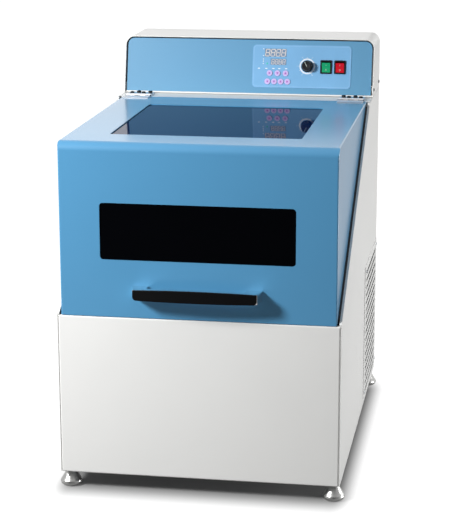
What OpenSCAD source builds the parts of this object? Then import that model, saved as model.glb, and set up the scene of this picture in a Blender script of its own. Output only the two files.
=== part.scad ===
// Incubated benchtop shaker: a wedge lid on a chamber over an orbital drive, with a control head behind.
// Millimetres. Z is up, X runs across the front, Y runs from the front to the rear.
// The origin is on the floor, under the middle of the whole machine.
// Heights are measured from the floor, and depths from the cabinet's front face.

/* [Cabinet] */
// Width over the side panels
body_w = 560; // [540:1:600]
// Depth from the front panel to the rear panel
body_d = 800; // [790:1:850]
// Height of the levelling feet
foot_h = 36; // [32:1:45]
// Radius of a foot's base
foot_r = 22; // [18:1:24]
// Distance of a foot's centre from the side and from the front or rear
foot_inset = [14, 29]; // [10:1:40]
// Height of the white front panel
front_h = 326; // [322:1:345]
// Thickness of the cabinet's sheet metal
sheet = 1.5; // [1:0.1:2]
// Outer radius of the front panel's folds
fold_r = 3; // [2.5:0.1:4]
// Depth of the front panel's returned edges
front_return = 9; // [7:0.5:10]
// Rise of the slanted parting line above the front panel, at the front face
slant_start = 4; // [3:0.5:6]
// Depth at which the slanted parting line reaches the lid's top
slant_run = 559; // [550:1:562]
// Width and height of the hem along the side panel's slanted edge
hem = [4.4, 10]; // [4:0.1:12]
// Drop of the chamber's rim below the parting line
rim_drop = 14; // [12:0.5:18]
// Clearance between pieces that don't move
seam = 0.3; // [0.2:0.05:0.5]

/* [Vent covers] */
// Distances of a vent cover's front and rear edges from the cabinet's rear face
vent_back = [292, 4]; // [3:1:310]
// Heights of a vent cover's lower and upper edges above the cabinet's base
vent_z = [14, 316]; // [10:1:340]
// Border between a cover's edge and its louvres, at their ends and above and below them
vent_border = [28, 15]; // [14:1:36]
// Distance from one louvre to the next
louvre_pitch = 17; // [15:0.5:20]
// How far a louvre stands out and how tall it is
louvre = [2.2, 6.5]; // [2:0.1:11]
// Radius and height of a cover screw's head
cover_screw = [3.4, 2.2]; // [2:0.1:6]

/* [Lid] */
// Height of the lid's front face
lid_h = 345; // [335:1:365]
// Lid sheet thickness
lid_sheet = 2; // [1.5:0.1:2.5]
// Distance from the cabinet's side to the lid's side
lid_inset = 8.7; // [8:0.1:10]
// Gap between the front panel and the lid's lower edge
lid_gap = 1; // [0.8:0.1:3]
// Radius of the fold between the lid's front and top
lid_fold = 17; // [12:1:22]
// Radius of the lid's side folds
lid_edge = 3; // [2.5:0.1:4]
// Thickness of the lid's rear lip
lid_lip = 4; // [3.5:0.1:5]
// Distance from the lid's shell to its inner liner
liner_depth = 25; // [22:1:30]
// Thickness of the inner liner
liner_t = 2; // [1.5:0.1:3]
// Width and height of the front window
window = [382, 112.3]; // [90:0.1:400]
// Height of the front window's lower edge above the lid's lower edge
window_rise = 114.2; // [105:0.1:125]
// Corner radius of the windows
window_r = 7; // [4:1:12]
// Width and depth of the top window
top_window_size = [378, 379]; // [340:1:390]
// Depth at which the top window starts
top_window_y = 93; // [85:1:100]
// Thickness of the glass
glass_t = 5; // [4:0.5:6]
// How far the glass reaches past its opening
glass_lap = 12; // [8:1:16]

/* [Handle] */
// Width over the handle's feet and width of its front strip
handle_w = [254, 243]; // [220:1:270]
// Depth of the handle from the lid, at its middle
handle_out = 43; // [40:1:55]
// How much nearer the lid the handle's ends are
handle_bow = 8; // [4:1:12]
// Height of the handle at its middle and at its ends
handle_tall = [24.5, 20.5]; // [14:0.5:26]
// Thickness of the handle's bar
handle_t = 13; // [10:1:16]
// Width of a handle's foot
handle_foot = 31; // [26:1:36]
// Thickness of the black front strip
strip_t = 3; // [2:0.5:4]
// Height of the handle's lower edge above the front panel
handle_rise = 44.5; // [40:0.5:60]

/* [Hinges] */
// Width of one hinge
hinge_w = 55; // [50:1:70]
// Distance of a hinge's centre from the cabinet's side
hinge_inset = 43.5; // [42:0.5:55]
// Thickness of a hinge leaf, its depth on the lid and its depth on the deck
leaf = [2.5, 24, 44]; // [2:0.1:46]
// Distance from the hinge's axis to a leaf
leaf_clear = 6; // [5.8:0.1:7]
// Radius of the hinge's barrel
barrel_r = 3.1; // [2.8:0.1:5.2]
// Radius of the hinge's pin
hinge_pin_r = 1.6; // [1.4:0.1:3]
// Distance from the slanted line's end to the hinge's axis
hinge_back = 19; // [18:1:22]
// Radius and height of the head of a screw in the hinge
hinge_screw = [4.7, 4.5]; // [3:0.1:6]
// Height of the hinge's axis above the lid
hinge_rise = 3.4; // [3.3:0.1:6]

/* [Control head] */
// Height of the head above the lid's top
head_h = 124.6; // [118:0.1:135]
// Distance from the slanted line's end to the head's front edge on the deck
head_back = 69; // [63:1:81]
// Backward lean of the head's front
head_tilt = 12.9; // [10:0.1:16]
// Radius of the head's top corners
head_r = 20; // [16:1:24]
// How far the control panel lies behind the head's front edge
panel_recess = 4.5; // [3:0.5:8]
// Gap between the head's side and the control panel
panel_gap = 5.3; // [3.5:0.1:6]
// Height of the panel's lower edge above the deck, over the head's lower rail
panel_low = 4.6; // [3.5:0.1:6]
// Thickness of the control panel
panel_t = 2; // [1.5:0.1:3]

/* [Controls] */
// Overlay width and height
overlay = [220, 95]; // [90:1:230]
// Overlay centre, across and up the panel
overlay_at = [119.5, 65]; // [55:0.5:125]
// Overlay thickness
overlay_t = 0.8; // [0.6:0.1:1.2]
// Radius of a round key
key_r = 6.3; // [5:0.1:6.5]
// How far a key stands out, and how far it travels
key_move = [2.2, 0.8]; // [0.5:0.1:3]
// Key centres in the upper row, across the panel
upper_keys = [48.3, 66, 84]; // [40:0.1:95]
// Key centres in the lower row, across the panel
lower_keys = [44, 58.9, 73.8, 88.7]; // [40:0.1:95]
// Heights of the two rows of keys, up the panel
key_rows = [31, 49.5]; // [25:0.5:60]
// Radius and height of the speed knob
knob = [13, 17]; // [10:0.5:20]
// Centre of the knob, across and up the panel
knob_at = [132.1, 66]; // [60:0.1:140]
// Radius of the knob's shaft
knob_shaft = 3; // [2.5:0.1:4]
// Width and height of a rocker switch's frame
rocker_frame = [25.5, 30]; // [24:0.5:32]
// Centre of the green rocker and of the red one, across the panel
rocker_x = [174, 204.8]; // [165:0.1:215]
// Height of the rockers' centre up the panel
rocker_v = 65.3; // [60:0.1:70]
// Tilt of a rocker either side of its middle
rocker_tilt = 10; // [6:1:12]

/* [Chamber] */
// Distance from the cabinet's side to the chamber's side wall
tub_inset = 52; // [49:1:60]
// Depth of the chamber's front wall, and distance from its rear wall to the slanted line's end
tub_margin = [42, 39]; // [35:1:50]
// Height of the chamber's floor above the cabinet's base
tub_floor = 273.5; // [260:0.5:280]
// Width of the rim gasket
gasket_w = 18; // [14:1:22]
// Thickness of the insulation round the chamber
insulation_t = 30; // [24:1:31]

/* [Shaking drive] */
// Diameter of the shaking orbit
orbit = 25; // [19:1:30]
// Gap left between the tray and the chamber's walls when the orbit brings them nearest
tray_clear = 9; // [6:0.5:30]
// Thickness of the tray and height of its rim
tray_sheet = [3, 14]; // [2:0.5:20]
// Distance between the tray's threaded holes
tray_grid = 100; // [80:5:110]
// Radius of the tray's threaded holes
tray_hole_r = 2.5; // [2:0.1:3]
// Distances of the main crank, of the idler cranks and of the motor behind the chamber's front wall
crank_back = [150.5, 280.5, 348]; // [140:0.5:360]
// Distance of an idler crank from the middle plane
idler_x = 110; // [100:1:130]
// Radius of the crank shafts and of the crank pins
crank_r = [10, 8]; // [6:0.5:12]
// Radial clearance of a turning fit
run_fit = 0.05; // [0.03:0.01:0.08]
// Thickness of the drive plate
drive_plate_t = 10; // [8:1:12]
// Radius of the driven pulley and of the motor pulley
pulley_r = [70, 22]; // [18:1:75]
// Width and thickness of the belt
belt = [16, 4]; // [3:1:20]
// Radius and height of the motor
motor = [55, 92]; // [45:1:96]

/* [Climate] */
// Radius of the fan wheel
fan_r = 75; // [60:1:80]
// Height of the fan's axis above the cabinet's base
fan_rise = 414; // [405:1:420]
// Radius and height of the compressor
compressor_size = [78, 190]; // [60:1:210]
// Number of fins on the condenser
fins = 22; // [12:1:30]

/* [Hidden] */
$fn = 48;

// Power inlet flange, which stands out of the rear panel
inlet_out = 2.5;
front_y = (handle_out - body_d - inlet_out) / 2;
half_w = body_w / 2;
side_in = half_w - sheet;
front_top = foot_h + front_h;
lid_top = front_top + lid_h;
slope = (lid_top - front_top - slant_start) / slant_run;
slant_angle = atan(slope);
function slant(y) = front_top + slant_start + slope * y;
function slant_y(z) = (z - front_top - slant_start) / slope;
function rim(y) = slant(y) - rim_drop;
hinge_y = slant_run + hinge_back;
hinge_z = lid_top + hinge_rise;
deck_y = hinge_y + 1;
hinge_x = half_w - hinge_inset;
head_y = slant_run + head_back;
head_top = lid_top + head_h;
lid_half = half_w - lid_inset;
foot_x = half_w - foot_inset[0];
foot_ys = [foot_inset[1], body_d - foot_inset[1]];
stud_r = 5;
stud_top = foot_h + 24;
pan_z = foot_h + 2;
pan_t = 3;
pan_top = pan_z + pan_t;
pan_lip = 15;
floor_z = foot_h + tub_floor;
plate_z = floor_z - sheet - drive_plate_t;
vent_y = [body_d - vent_back[0], body_d - vent_back[1]];
tub_w = body_w - 2 * tub_inset;
tub_y = [tub_margin[0], slant_run - tub_margin[1]];
crank_y = [for (y = crank_back) tub_y[0] + y];
column_at = [half_w - 110, tub_y[0] + 48, tub_y[1] - 50];
column_plate = [60, 5];
column_tube = [40, 3];
rear_in = body_d - sheet;
screw_shank = 2;
front_w = 2 * side_in - 1;
fan_z = foot_h + fan_rise;
fan_y = tub_y[1] - 22;
cover_y = fan_y - 19.5;
tray = [tub_w - orbit - 2 * tray_clear, cover_y - tub_y[0] - orbit - 2 * tray_clear];

module box(low, high) translate(low) cube(high - low);
module slab_x(x0, x1) translate([x0, 0, 0]) rotate([90, 0, 90]) linear_extrude(x1 - x0) children();
module slab_y(y0, y1) translate([0, y1, 0]) rotate([90, 0, 0]) linear_extrude(y1 - y0) children();
module from_front() translate([0, front_y, 0]) children();
module both_sides() {
  children();
  mirror([1, 0, 0]) children();
}
module rounded(w, h, r) {
  square([w - 2 * r, h], center = true);
  square([w, h - 2 * r], center = true);
  for (x = [-1, 1], y = [-1, 1]) translate([x * (w / 2 - r), y * (h / 2 - r)]) circle(r);
}

// Cabinet

// The base pan's plan with its walls moved in by t, narrower where the front panel's folds go round it
module pan_plan(t) {
  wide = side_in - seam - t;
  narrow = front_w / 2 - sheet - seam - t;
  behind = front_return + seam + t;
  translate([-wide, behind]) square([2 * wide, rear_in - seam - t - behind]);
  translate([-narrow, sheet + seam + t]) square([2 * narrow, behind]);
}

module base_pan() color("gainsboro") from_front() {
  difference() {
    union() {
      difference() {
        translate([0, 0, pan_z]) linear_extrude(pan_t + pan_lip) pan_plan(0);
        translate([0, 0, pan_top]) linear_extrude(pan_lip + 1) pan_plan(pan_t);
      }
      for (x = [-1, 1], y = foot_ys)
        translate([x * foot_x, y, pan_z]) cylinder(r = stud_r + 5, h = stud_top - pan_z);
    }
    for (x = [-1, 1], y = foot_ys)
      translate([x * foot_x, y, pan_z - 1]) cylinder(r = stud_r + seam, h = stud_top - pan_z + 2);
  }
}

module levelling_feet() color("silver") from_front()
  for (x = [-1, 1], y = foot_ys) translate([x * foot_x, y, 0]) rotate_extrude() polygon([
    [0, 0], [foot_r - 8, 0], [foot_r - 4, 1.2], [foot_r - 1.2, 4.2], [foot_r, 8],
    [foot_r - 1, 11.5], [foot_r - 4, 16], [stud_r + 5, foot_h - 6], [stud_r + 4, foot_h - 2],
    [stud_r, foot_h - 2], [stud_r, stud_top], [0, stud_top]
  ]);

module support_columns() color("gray") from_front()
  for (x = [-1, 1], y = [column_at[1], column_at[2]]) translate([x * column_at[0], y, 0]) {
    for (z = [pan_top, plate_z - column_plate[1]]) translate([0, 0, z])
      linear_extrude(column_plate[1]) square(column_plate[0], center = true);
    translate([0, 0, pan_top + 4]) linear_extrude(plate_z - pan_top - 8) difference() {
      square(column_tube[0], center = true);
      square(column_tube[0] - 2 * column_tube[1], center = true);
    }
  }

// A solid with its front, top and bottom edges folded round
module folded_block(w, d, z0, z1, r) intersection() {
  translate([0, 0, z0]) linear_extrude(z1 - z0) intersection() {
    translate([0, d]) rounded(w, 2 * d, r);
    translate([-w / 2, 0]) square([w, d]);
  }
  slab_x(-w / 2, w / 2) intersection() {
    translate([d, (z0 + z1) / 2]) rounded(2 * d, z1 - z0, r);
    translate([0, z0]) square([d, z1 - z0]);
  }
}

module front_panel() color("whitesmoke") from_front() {
  difference() {
    folded_block(front_w, front_return, foot_h, front_top, fold_r);
    translate([0, sheet, 0])
      folded_block(front_w - 2 * sheet, front_return, foot_h + sheet, front_top - sheet, fold_r - sheet);
  }
}

inlet_at = [90 - half_w, foot_h + 90];
inlet_size = [58, 50];
module rear_panel() color("whitesmoke") from_front() difference() {
  box([-side_in + seam, rear_in, foot_h + 1], [side_in - seam, body_d, lid_top - sheet - seam]);
  translate([inlet_at[0] - inlet_size[0] / 2, 0, inlet_at[1] - inlet_size[1] / 2])
    cube([inlet_size[0], body_d + 1, inlet_size[1]]);
}

vent_low = foot_h + vent_z[0];
vent_high = foot_h + vent_z[1];
vent_out = half_w + 1.2;
vent_screw_y = [vent_y[0] + 13, vent_y[1] - 12];
vent_screw_z = [vent_low + 12, vent_high - 12];
louvre_ends = [vent_y[0] + vent_border[0], vent_y[1] - vent_border[0]];
louvre_low = vent_low + vent_border[1];
louvre_count = floor((vent_high - louvre_low - vent_border[1]) / louvre_pitch) + 1;

module side_panel() from_front() {
  difference() {
    slab_x(side_in, half_w) polygon([
      [0.5, foot_h], [0.5, slant(0.5)], [slant_run, lid_top], [body_d, lid_top], [body_d, foot_h]
    ]);
    box([0, louvre_ends[0] - 4, louvre_low - 12],
        [half_w + 1, louvre_ends[1] + 4, louvre_low + (louvre_count - 1) * louvre_pitch + 8]);
    for (y = vent_screw_y, z = vent_screw_z)
      translate([0, y, z]) rotate([0, 90, 0]) cylinder(r = screw_shank + 0.2, h = half_w + 1);
  }
  drop = hem[1] / cos(slant_angle);
  behind = front_return + 0.5;
  slab_x(half_w - hem[0], half_w) polygon([
    [0.5, slant(0.5)], [slant_run, lid_top], [slant_run, lid_top - drop],
    [behind, slant(behind) - drop], [behind, front_top + seam], [0.5, front_top + seam]
  ]);
}
module right_side_panel() color("whitesmoke") side_panel();
module left_side_panel() color("whitesmoke") mirror([1, 0, 0]) side_panel();

module vent_covers() color("gainsboro") both_sides() from_front() {
  difference() {
    box([half_w, vent_y[0], vent_low], [vent_out, vent_y[1], vent_high]);
    for (i = [0 : louvre_count - 1])
      box([0, louvre_ends[0], louvre_low + i * louvre_pitch - 10],
          [half_w + 5, louvre_ends[1], louvre_low + i * louvre_pitch + 3]);
    for (y = vent_screw_y, z = vent_screw_z)
      translate([0, y, z]) rotate([0, 90, 0]) cylinder(r = screw_shank + 0.2, h = half_w + 5);
  }
  for (i = [0 : louvre_count - 1]) {
    top = louvre_low + i * louvre_pitch + 5;
    slab_y(louvre_ends[0], louvre_ends[1]) polygon([
      [half_w, top], [vent_out, top], [vent_out + louvre[0], top - louvre[1]],
      [vent_out + louvre[0] - 1, top - louvre[1]], [half_w, top - 3]
    ]);
  }
}

module top_deck() color("whitesmoke") from_front() {
  deck_half = half_w - hem[0] - seam;
  lip_z = rim(slant_run) - 8;
  difference() {
    union() {
      box([-side_in + seam, deck_y, lid_top - sheet], [side_in - seam, rear_in - seam, lid_top]);
      slab_x(-deck_half, deck_half) polygon([
        [deck_y, lid_top - 0.5], [deck_y + sheet, lid_top - 0.5], [deck_y + sheet, lip_z],
        [slant_run - 6, lip_z], [slant_run - 6, lip_z + sheet], [deck_y, lip_z + sheet]
      ]);
    }
    both_sides() for (p = hinge_screws) translate([p[0], p[1], lid_top - 5])
      cylinder(r = screw_shank + 0.5, h = 10);
  }
  difference() {
    both_sides() {
      box([deck_half - 6, head_y + 10, lid_top], [side_in - seam, rear_in - 4, lid_top + sheet]);
      box([side_in - seam - sheet, head_y + 10, lid_top], [side_in - seam, rear_in - 4, lid_top + 22]);
    }
    both_sides() for (y = head_screw_y) translate([0, y, head_screw_z]) rotate([0, 90, 0])
      cylinder(r = screw_shank + 0.2, h = half_w);
  }
}

// Chamber

module chamber_tub() color("silver") from_front() {
  x1 = tub_w / 2;
  flange_half = half_w - hem[0] - seam;
  flange_y = [front_return + 3, slant_run - 9];
  difference() {
    union() {
      slab_x(-x1 - sheet, x1 + sheet) polygon([
        [tub_y[0] - sheet, floor_z - sheet], [tub_y[1] + sheet, floor_z - sheet],
        [tub_y[1] + sheet, rim(tub_y[1] + sheet)], [tub_y[0] - sheet, rim(tub_y[0] - sheet)]
      ]);
      slab_x(-flange_half, flange_half) polygon([
        [flange_y[0], rim(flange_y[0])], [flange_y[1], rim(flange_y[1])],
        [flange_y[1], rim(flange_y[1]) - sheet], [flange_y[0], rim(flange_y[0]) - sheet]
      ]);
    }
    box([-x1, tub_y[0], floor_z], [x1, tub_y[1], lid_top]);
    for (p = crank_at) translate([p[0], p[1], floor_z - 5]) cylinder(r = neck_r + seam, h = 10);
    translate([0, tub_y[1] - 1, fan_z]) rotate([-90, 0, 0]) cylinder(r = fan_neck_r + seam, h = 5);
    for (x = [-1, 1]) translate([x * heater_gap, tub_y[1] - 1, fan_z - heater_drop])
      rotate([-90, 0, 0]) cylinder(r = heater_tube + seam, h = 5);
  }
}

module chamber_insulation() color("khaki") from_front() {
  x0 = tub_w / 2 + sheet + seam;
  x1 = x0 + insulation_t + 1;
  y0 = front_return + 2;
  y1 = tub_y[1] + sheet + insulation_t;
  gap = sheet + 2 * seam;
  difference() {
    slab_x(-x1, x1) polygon([
      [y0, plate_z], [y1, plate_z], [y1, rim(y1) - gap], [y0, rim(y0) - gap]
    ]);
    box([-x0, tub_y[0] - sheet - seam, 0], [x0, tub_y[1] + sheet + seam, lid_top]);
    translate([0, 0, fan_z]) rotate([-90, 0, 0]) cylinder(r = 32, h = body_d);
    for (x = [-1, 1]) translate([x * heater_gap, 0, fan_z - heater_drop]) rotate([-90, 0, 0])
      cylinder(r = heater_tube + seam, h = body_d);
  }
}

module rim_gasket() color("black") from_front() {
  half = half_w - hem[0] - 2 * seam;
  y0 = front_return + 3;
  y1 = slant_run - 10;
  difference() {
    slab_x(-half, half) polygon([
      [y0, rim(y0)], [y1, rim(y1)], [y1, slant(y1) - seam - 0.05], [y0, slant(y0) - seam - 0.05]
    ]);
    slab_x(-half + gasket_w, half - gasket_w) polygon([
      [y0 + gasket_w, 0], [y1 - gasket_w, 0], [y1 - gasket_w, head_top], [y0 + gasket_w, head_top]
    ]);
  }
}

// Shaking drive

crank_at = [[0, crank_y[0]], [idler_x, crank_y[1]], [-idler_x, crank_y[1]]];
neck_r = 25;
bearing_r = 20;
neck_top = floor_z + 4.7;
web_z = neck_top + seam;
web_t = 8;
pin_top = web_z + web_t + 15;
housing_low = plate_z - 58;
pulley_z = foot_h + 129;
pulley_low = pulley_z - belt[0] / 2 - 2;
tray_z = web_z + web_t + 23;
throw = orbit / 2;
tray_y = (tub_y[0] + cover_y) / 2 - throw;

module drive_plate() color("slategray") from_front() difference() {
  box([-column_at[0] - 35, column_at[1] - 40, plate_z], [column_at[0] + 35, column_at[2] + 40,
      plate_z + drive_plate_t]);
  for (p = crank_at) translate([p[0], p[1], plate_z - 1]) cylinder(r = neck_r + seam, h = 20);
}

module crank_housings() color("darkgray") from_front()
  for (p = crank_at) translate([p[0], p[1], 0]) difference() {
    union() {
      translate([0, 0, plate_z - 8]) cylinder(r = 42, h = 8);
      translate([0, 0, housing_low]) cylinder(r = 30, h = plate_z - housing_low);
      translate([0, 0, plate_z]) cylinder(r = neck_r, h = neck_top - plate_z);
    }
    translate([0, 0, housing_low - 1]) cylinder(r = bearing_r, h = neck_top - housing_low + 2);
  }

module crank_bearings() color("silver") from_front()
  for (p = crank_at, z = [housing_low + 4, neck_top - 18]) translate([p[0], p[1], z]) difference() {
    cylinder(r = bearing_r - run_fit, h = 14);
    translate([0, 0, -1]) cylinder(r = crank_r[0] + run_fit, h = 16);
  }

// A shaft with a web and a crank pin, which points to the front at rest
module crank(p, low) from_front() translate([p[0], p[1], 0]) {
  translate([0, 0, low]) cylinder(r = crank_r[0], h = web_z - low);
  translate([0, 0, web_z]) cylinder(r = throw + crank_r[1] + 4, h = web_t);
  translate([0, -throw, web_z + web_t]) cylinder(r = crank_r[1], h = pin_top - web_z - web_t);
}
module main_crank() color("dimgray") crank(crank_at[0], pulley_low - 4);
module right_idler_crank() color("dimgray") crank(crank_at[1], housing_low - 2);
module left_idler_crank() color("dimgray") crank(crank_at[2], housing_low - 2);

module driven_pulley() color("dimgray") from_front() translate([0, crank_y[0], 0]) difference() {
  union() {
    translate([0, 0, pulley_low]) cylinder(r = pulley_r[0], h = belt[0] + 4);
    translate([0, 0, pulley_low]) cylinder(r = crank_r[0] + 10, h = belt[0] + 24);
    intersection() {
      translate([0, 0, pulley_low + belt[0] + 4]) cylinder(r = pulley_r[0], h = 20);
      translate([-100, 12, 0]) cube([200, 100, 500]);
    }
  }
  translate([0, 0, pulley_low - 1]) cylinder(r = crank_r[0] + run_fit, h = 3 * belt[0]);
}

module drive_motor() color("black") from_front() translate([0, crank_y[2], 0]) difference() {
  union() {
    translate([0, 0, plate_z - 8 - motor[1]]) cylinder(r = motor[0], h = motor[1]);
    translate([0, 0, plate_z - 8]) linear_extrude(8) square(2 * motor[0] + 10, center = true);
  }
  translate([0, 0, plate_z - 9 - motor[1]]) cylinder(r = 7 + run_fit, h = 40);
}

module motor_pulley() color("dimgray") from_front() translate([0, crank_y[2], 0]) {
  translate([0, 0, pulley_low]) cylinder(r = pulley_r[1], h = belt[0] + 4);
  translate([0, 0, pulley_low - 4]) cylinder(r = 7, h = plate_z + 26 - motor[1] - pulley_low);
}

module belt_line(extra) hull() {
  translate([0, crank_y[0]]) circle(pulley_r[0] + extra);
  translate([0, crank_y[2]]) circle(pulley_r[1] + extra);
}
module drive_belt() color("black") from_front() translate([0, 0, pulley_z - belt[0] / 2])
  linear_extrude(belt[0]) difference() {
    belt_line(belt[1] + 0.6);
    belt_line(0.6);
  }

module tray_carrier() color("lightgray") from_front() difference() {
  union() {
    box([-idler_x - 40, crank_y[0] - 50, tray_z - 8], [idler_x + 40, crank_y[1] + 40, tray_z]);
    for (p = crank_at) translate([p[0], p[1] - throw, web_z + web_t + seam])
      cylinder(r = 18, h = tray_z - web_z - web_t - seam);
  }
  for (p = crank_at) translate([p[0], p[1] - throw, 0]) cylinder(r = crank_r[1] + run_fit, h = pin_top + 2);
}

module shaker_tray() color("silver") from_front() translate([0, tray_y, tray_z]) difference() {
  translate([-tray[0] / 2, -tray[1] / 2, 0]) cube([tray[0], tray[1], tray_sheet[1]]);
  translate([-tray[0] / 2 + tray_sheet[0], -tray[1] / 2 + tray_sheet[0], tray_sheet[0]])
    cube([tray[0] - 2 * tray_sheet[0], tray[1] - 2 * tray_sheet[0], tray_sheet[1]]);
  for (x = [-1.5 : 1.5], y = [-1.5 : 1.5]) translate([x * tray_grid, y * tray_grid, -1])
    cylinder(r = tray_hole_r, h = tray_sheet[0] + 2);
}

// Climate

fan_neck_r = 12;
fan_shaft_r = 4;
heater_r = fan_r + 20;
heater_tube = 4;
heater_gap = 14;
heater_drop = sqrt(heater_r * heater_r - heater_gap * heater_gap);
motor_y = tub_y[1] + sheet + insulation_t + 1;

module fan_motor() color("gray") from_front() translate([0, 0, fan_z]) rotate([-90, 0, 0]) difference() {
  union() {
    translate([0, 0, tub_y[1] - 2]) cylinder(r = fan_neck_r, h = motor_y - tub_y[1] + 4);
    translate([0, 0, tub_y[1] + sheet]) cylinder(r = 28, h = 3);
    translate([0, 0, motor_y]) cylinder(r = 38, h = 48);
  }
  translate([0, 0, tub_y[1] - 3]) cylinder(r = fan_shaft_r + run_fit, h = 70);
}

module fan_wheel() color("lightgray") from_front() translate([0, 0, fan_z]) rotate([-90, 0, 0]) {
  translate([0, 0, fan_y + 14]) cylinder(r = fan_r, h = 2);
  translate([0, 0, fan_y]) cylinder(r = 14, h = 15);
  translate([0, 0, fan_y + 10]) cylinder(r = fan_shaft_r, h = 70);
  for (a = [0 : 45 : 315]) rotate([0, 0, a]) translate([12, -1, fan_y]) cube([fan_r - 14, 2, 15]);
}

evaporator_x = [heater_r + heater_tube + 11, heater_r + heater_tube + 69];
cover_half = evaporator_x[1] + 12;
cover_rise = heater_r + heater_tube + 6;
cover_z = [fan_z - cover_rise, fan_z + cover_rise];
module fan_cover() color("silver") from_front() difference() {
  box([-cover_half, cover_y, cover_z[0]], [cover_half, tub_y[1], cover_z[1]]);
  box([-cover_half + sheet, cover_y + sheet, cover_z[0] + sheet],
      [cover_half - sheet, tub_y[1] + 1, cover_z[1] - sheet]);
  for (r = [18 : 14 : 60], a = [0 : 30 : 330]) translate([0, cover_y - 1, fan_z]) rotate([-90, 0, 0])
    rotate([0, 0, a]) translate([r, 0, 0]) cylinder(r = 2 + r / 24, h = 5);
  for (x = [-1, 1], z = [0 : 6])
    translate([x * (cover_half - 30), cover_y, fan_z + (z - 3) * 24]) cube([36, 5, 6], center = true);
}

module heater() color("gray") from_front() {
  gap_angle = asin(heater_gap / heater_r);
  translate([0, fan_y + 8, fan_z]) rotate([-90, 0, 0]) rotate([0, 0, 90 + gap_angle])
    rotate_extrude(angle = 360 - 2 * gap_angle) translate([heater_r, 0]) circle(heater_tube);
  for (x = [-1, 1]) translate([x * heater_gap, fan_y + 4, fan_z - heater_drop])
    rotate([-90, 0, 0]) cylinder(r = heater_tube - 0.2, h = tub_y[1] - fan_y + 10);
}

module evaporator() color("silver") from_front() {
  x0 = evaporator_x[0];
  x1 = evaporator_x[1];
  box([x0, fan_y, cover_z[0] + 24], [x1, tub_y[1], cover_z[0] + 28]);
  box([x0, fan_y, cover_z[1] - 34], [x1, tub_y[1], cover_z[1] - 30]);
  for (i = [0 : 9])
    box([x0 + 2 + i * 6, fan_y, cover_z[0] + 27], [x0 + 3 + i * 6, tub_y[1] - 2, cover_z[1] - 33]);
  for (i = [0 : 3]) translate([x0, fan_y + 11, cover_z[0] + 45 + i * 34]) rotate([0, 90, 0])
    cylinder(r = 4, h = x1 - x0);
}

probe_at = [60 - cover_half, cover_z[1] - 25];
module temperature_probe() color("silver") from_front() translate([probe_at[0], 0, probe_at[1]])
  rotate([-90, 0, 0]) {
    translate([0, 0, cover_y - 16]) cylinder(r = 3, h = 16);
    translate([0, 0, cover_y - 8]) cylinder(r = 6, h = 8, $fn = 6);
  }

compressor_at = [130 - half_w, body_d - 140];
module compressor() color("black") from_front() translate([compressor_at[0], compressor_at[1], pan_top]) {
  r = compressor_size[0];
  h = compressor_size[1];
  rotate_extrude() polygon([
    [0, 12], [r, 12], [r, h - 50], [r * 0.93, h - 26], [r * 0.7, h - 8], [r * 0.35, h], [0, h]
  ]);
  for (x = [-1, 1]) translate([x * (r - 14) - 12, -30, 0]) cube([24, 60, 14]);
}

condenser_x = side_in - 76;
module condenser() color("silver") from_front() {
  y0 = louvre_ends[0];
  y1 = louvre_ends[1];
  z1 = plate_z - 8;
  box([condenser_x, y0, pan_top], [condenser_x + 50, y0 + 3, z1]);
  box([condenser_x, y1 - 3, pan_top], [condenser_x + 50, y1, z1]);
  box([condenser_x, y0, pan_top], [condenser_x + 50, y1, pan_top + 3]);
  for (i = [1 : fins]) box([condenser_x, y0 + i * (y1 - y0) / (fins + 1), pan_top + 2],
    [condenser_x + 50, y0 + i * (y1 - y0) / (fins + 1) + 1, z1]);
  for (i = [0 : 3]) translate([condenser_x + 25, y0, pan_top + 40 + i * (z1 - pan_top - 80) / 3])
    rotate([-90, 0, 0]) cylinder(r = 5, h = y1 - y0);
}

module power_inlet() color("black") from_front() translate([inlet_at[0], 0, inlet_at[1]]) difference() {
  w = inlet_size[0];
  h = inlet_size[1];
  union() {
    box([-w / 2 - 5, body_d, -h / 2 - 5], [w / 2 + 5, body_d + inlet_out, h / 2 + 5]);
    box([-w / 2 + seam, body_d - 30, -h / 2 + seam], [w / 2 - seam, body_d, h / 2 - seam]);
  }
  box([-14, body_d - 17, -10], [14, body_d + 10, 10]);
}

// Lid

lid_low = front_top + lid_gap;
lip_low = lid_top - lid_lip;
// The lid's side view, with its walls moved in by t
module lid_side(t, back, low) intersection() {
  translate([500, lid_top - 500]) rounded(1000 - 2 * t, 1000 - 2 * t, lid_fold - t);
  translate([t, low]) square([back - t, lid_top - low]);
}

module lid_block() intersection() {
  slab_x(-lid_half, lid_half) difference() {
    lid_side(0, hinge_y - 1, front_top);
    polygon([[-1, lid_low], [lid_sheet, lid_low], [lid_sheet, slant(lid_sheet)],
      [slant_y(lip_low), lip_low], [hinge_y, lip_low], [hinge_y, 0], [-1, 0]]);
  }
  slab_y(-1, hinge_y) translate([0, lid_top - 500]) rounded(2 * lid_half, 1000, lid_edge);
  translate([0, 500, 0]) linear_extrude(lid_top) rounded(2 * lid_half, 1000, lid_edge);
}

window_z = lid_low + window_rise + window[1] / 2;
top_window_mid = top_window_y + top_window_size[1] / 2;

module lid_shell() color("steelblue") from_front() difference() {
  lid_block();
  slab_x(-lid_half + lid_sheet, lid_half - lid_sheet) lid_side(lid_sheet, slant_run - 10, 0);
  slab_y(-5, 20) translate([0, window_z]) rounded(window[0], window[1], window_r);
  translate([0, top_window_mid, lid_top - 10]) linear_extrude(20)
    rounded(top_window_size[0], top_window_size[1], window_r);
}

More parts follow.
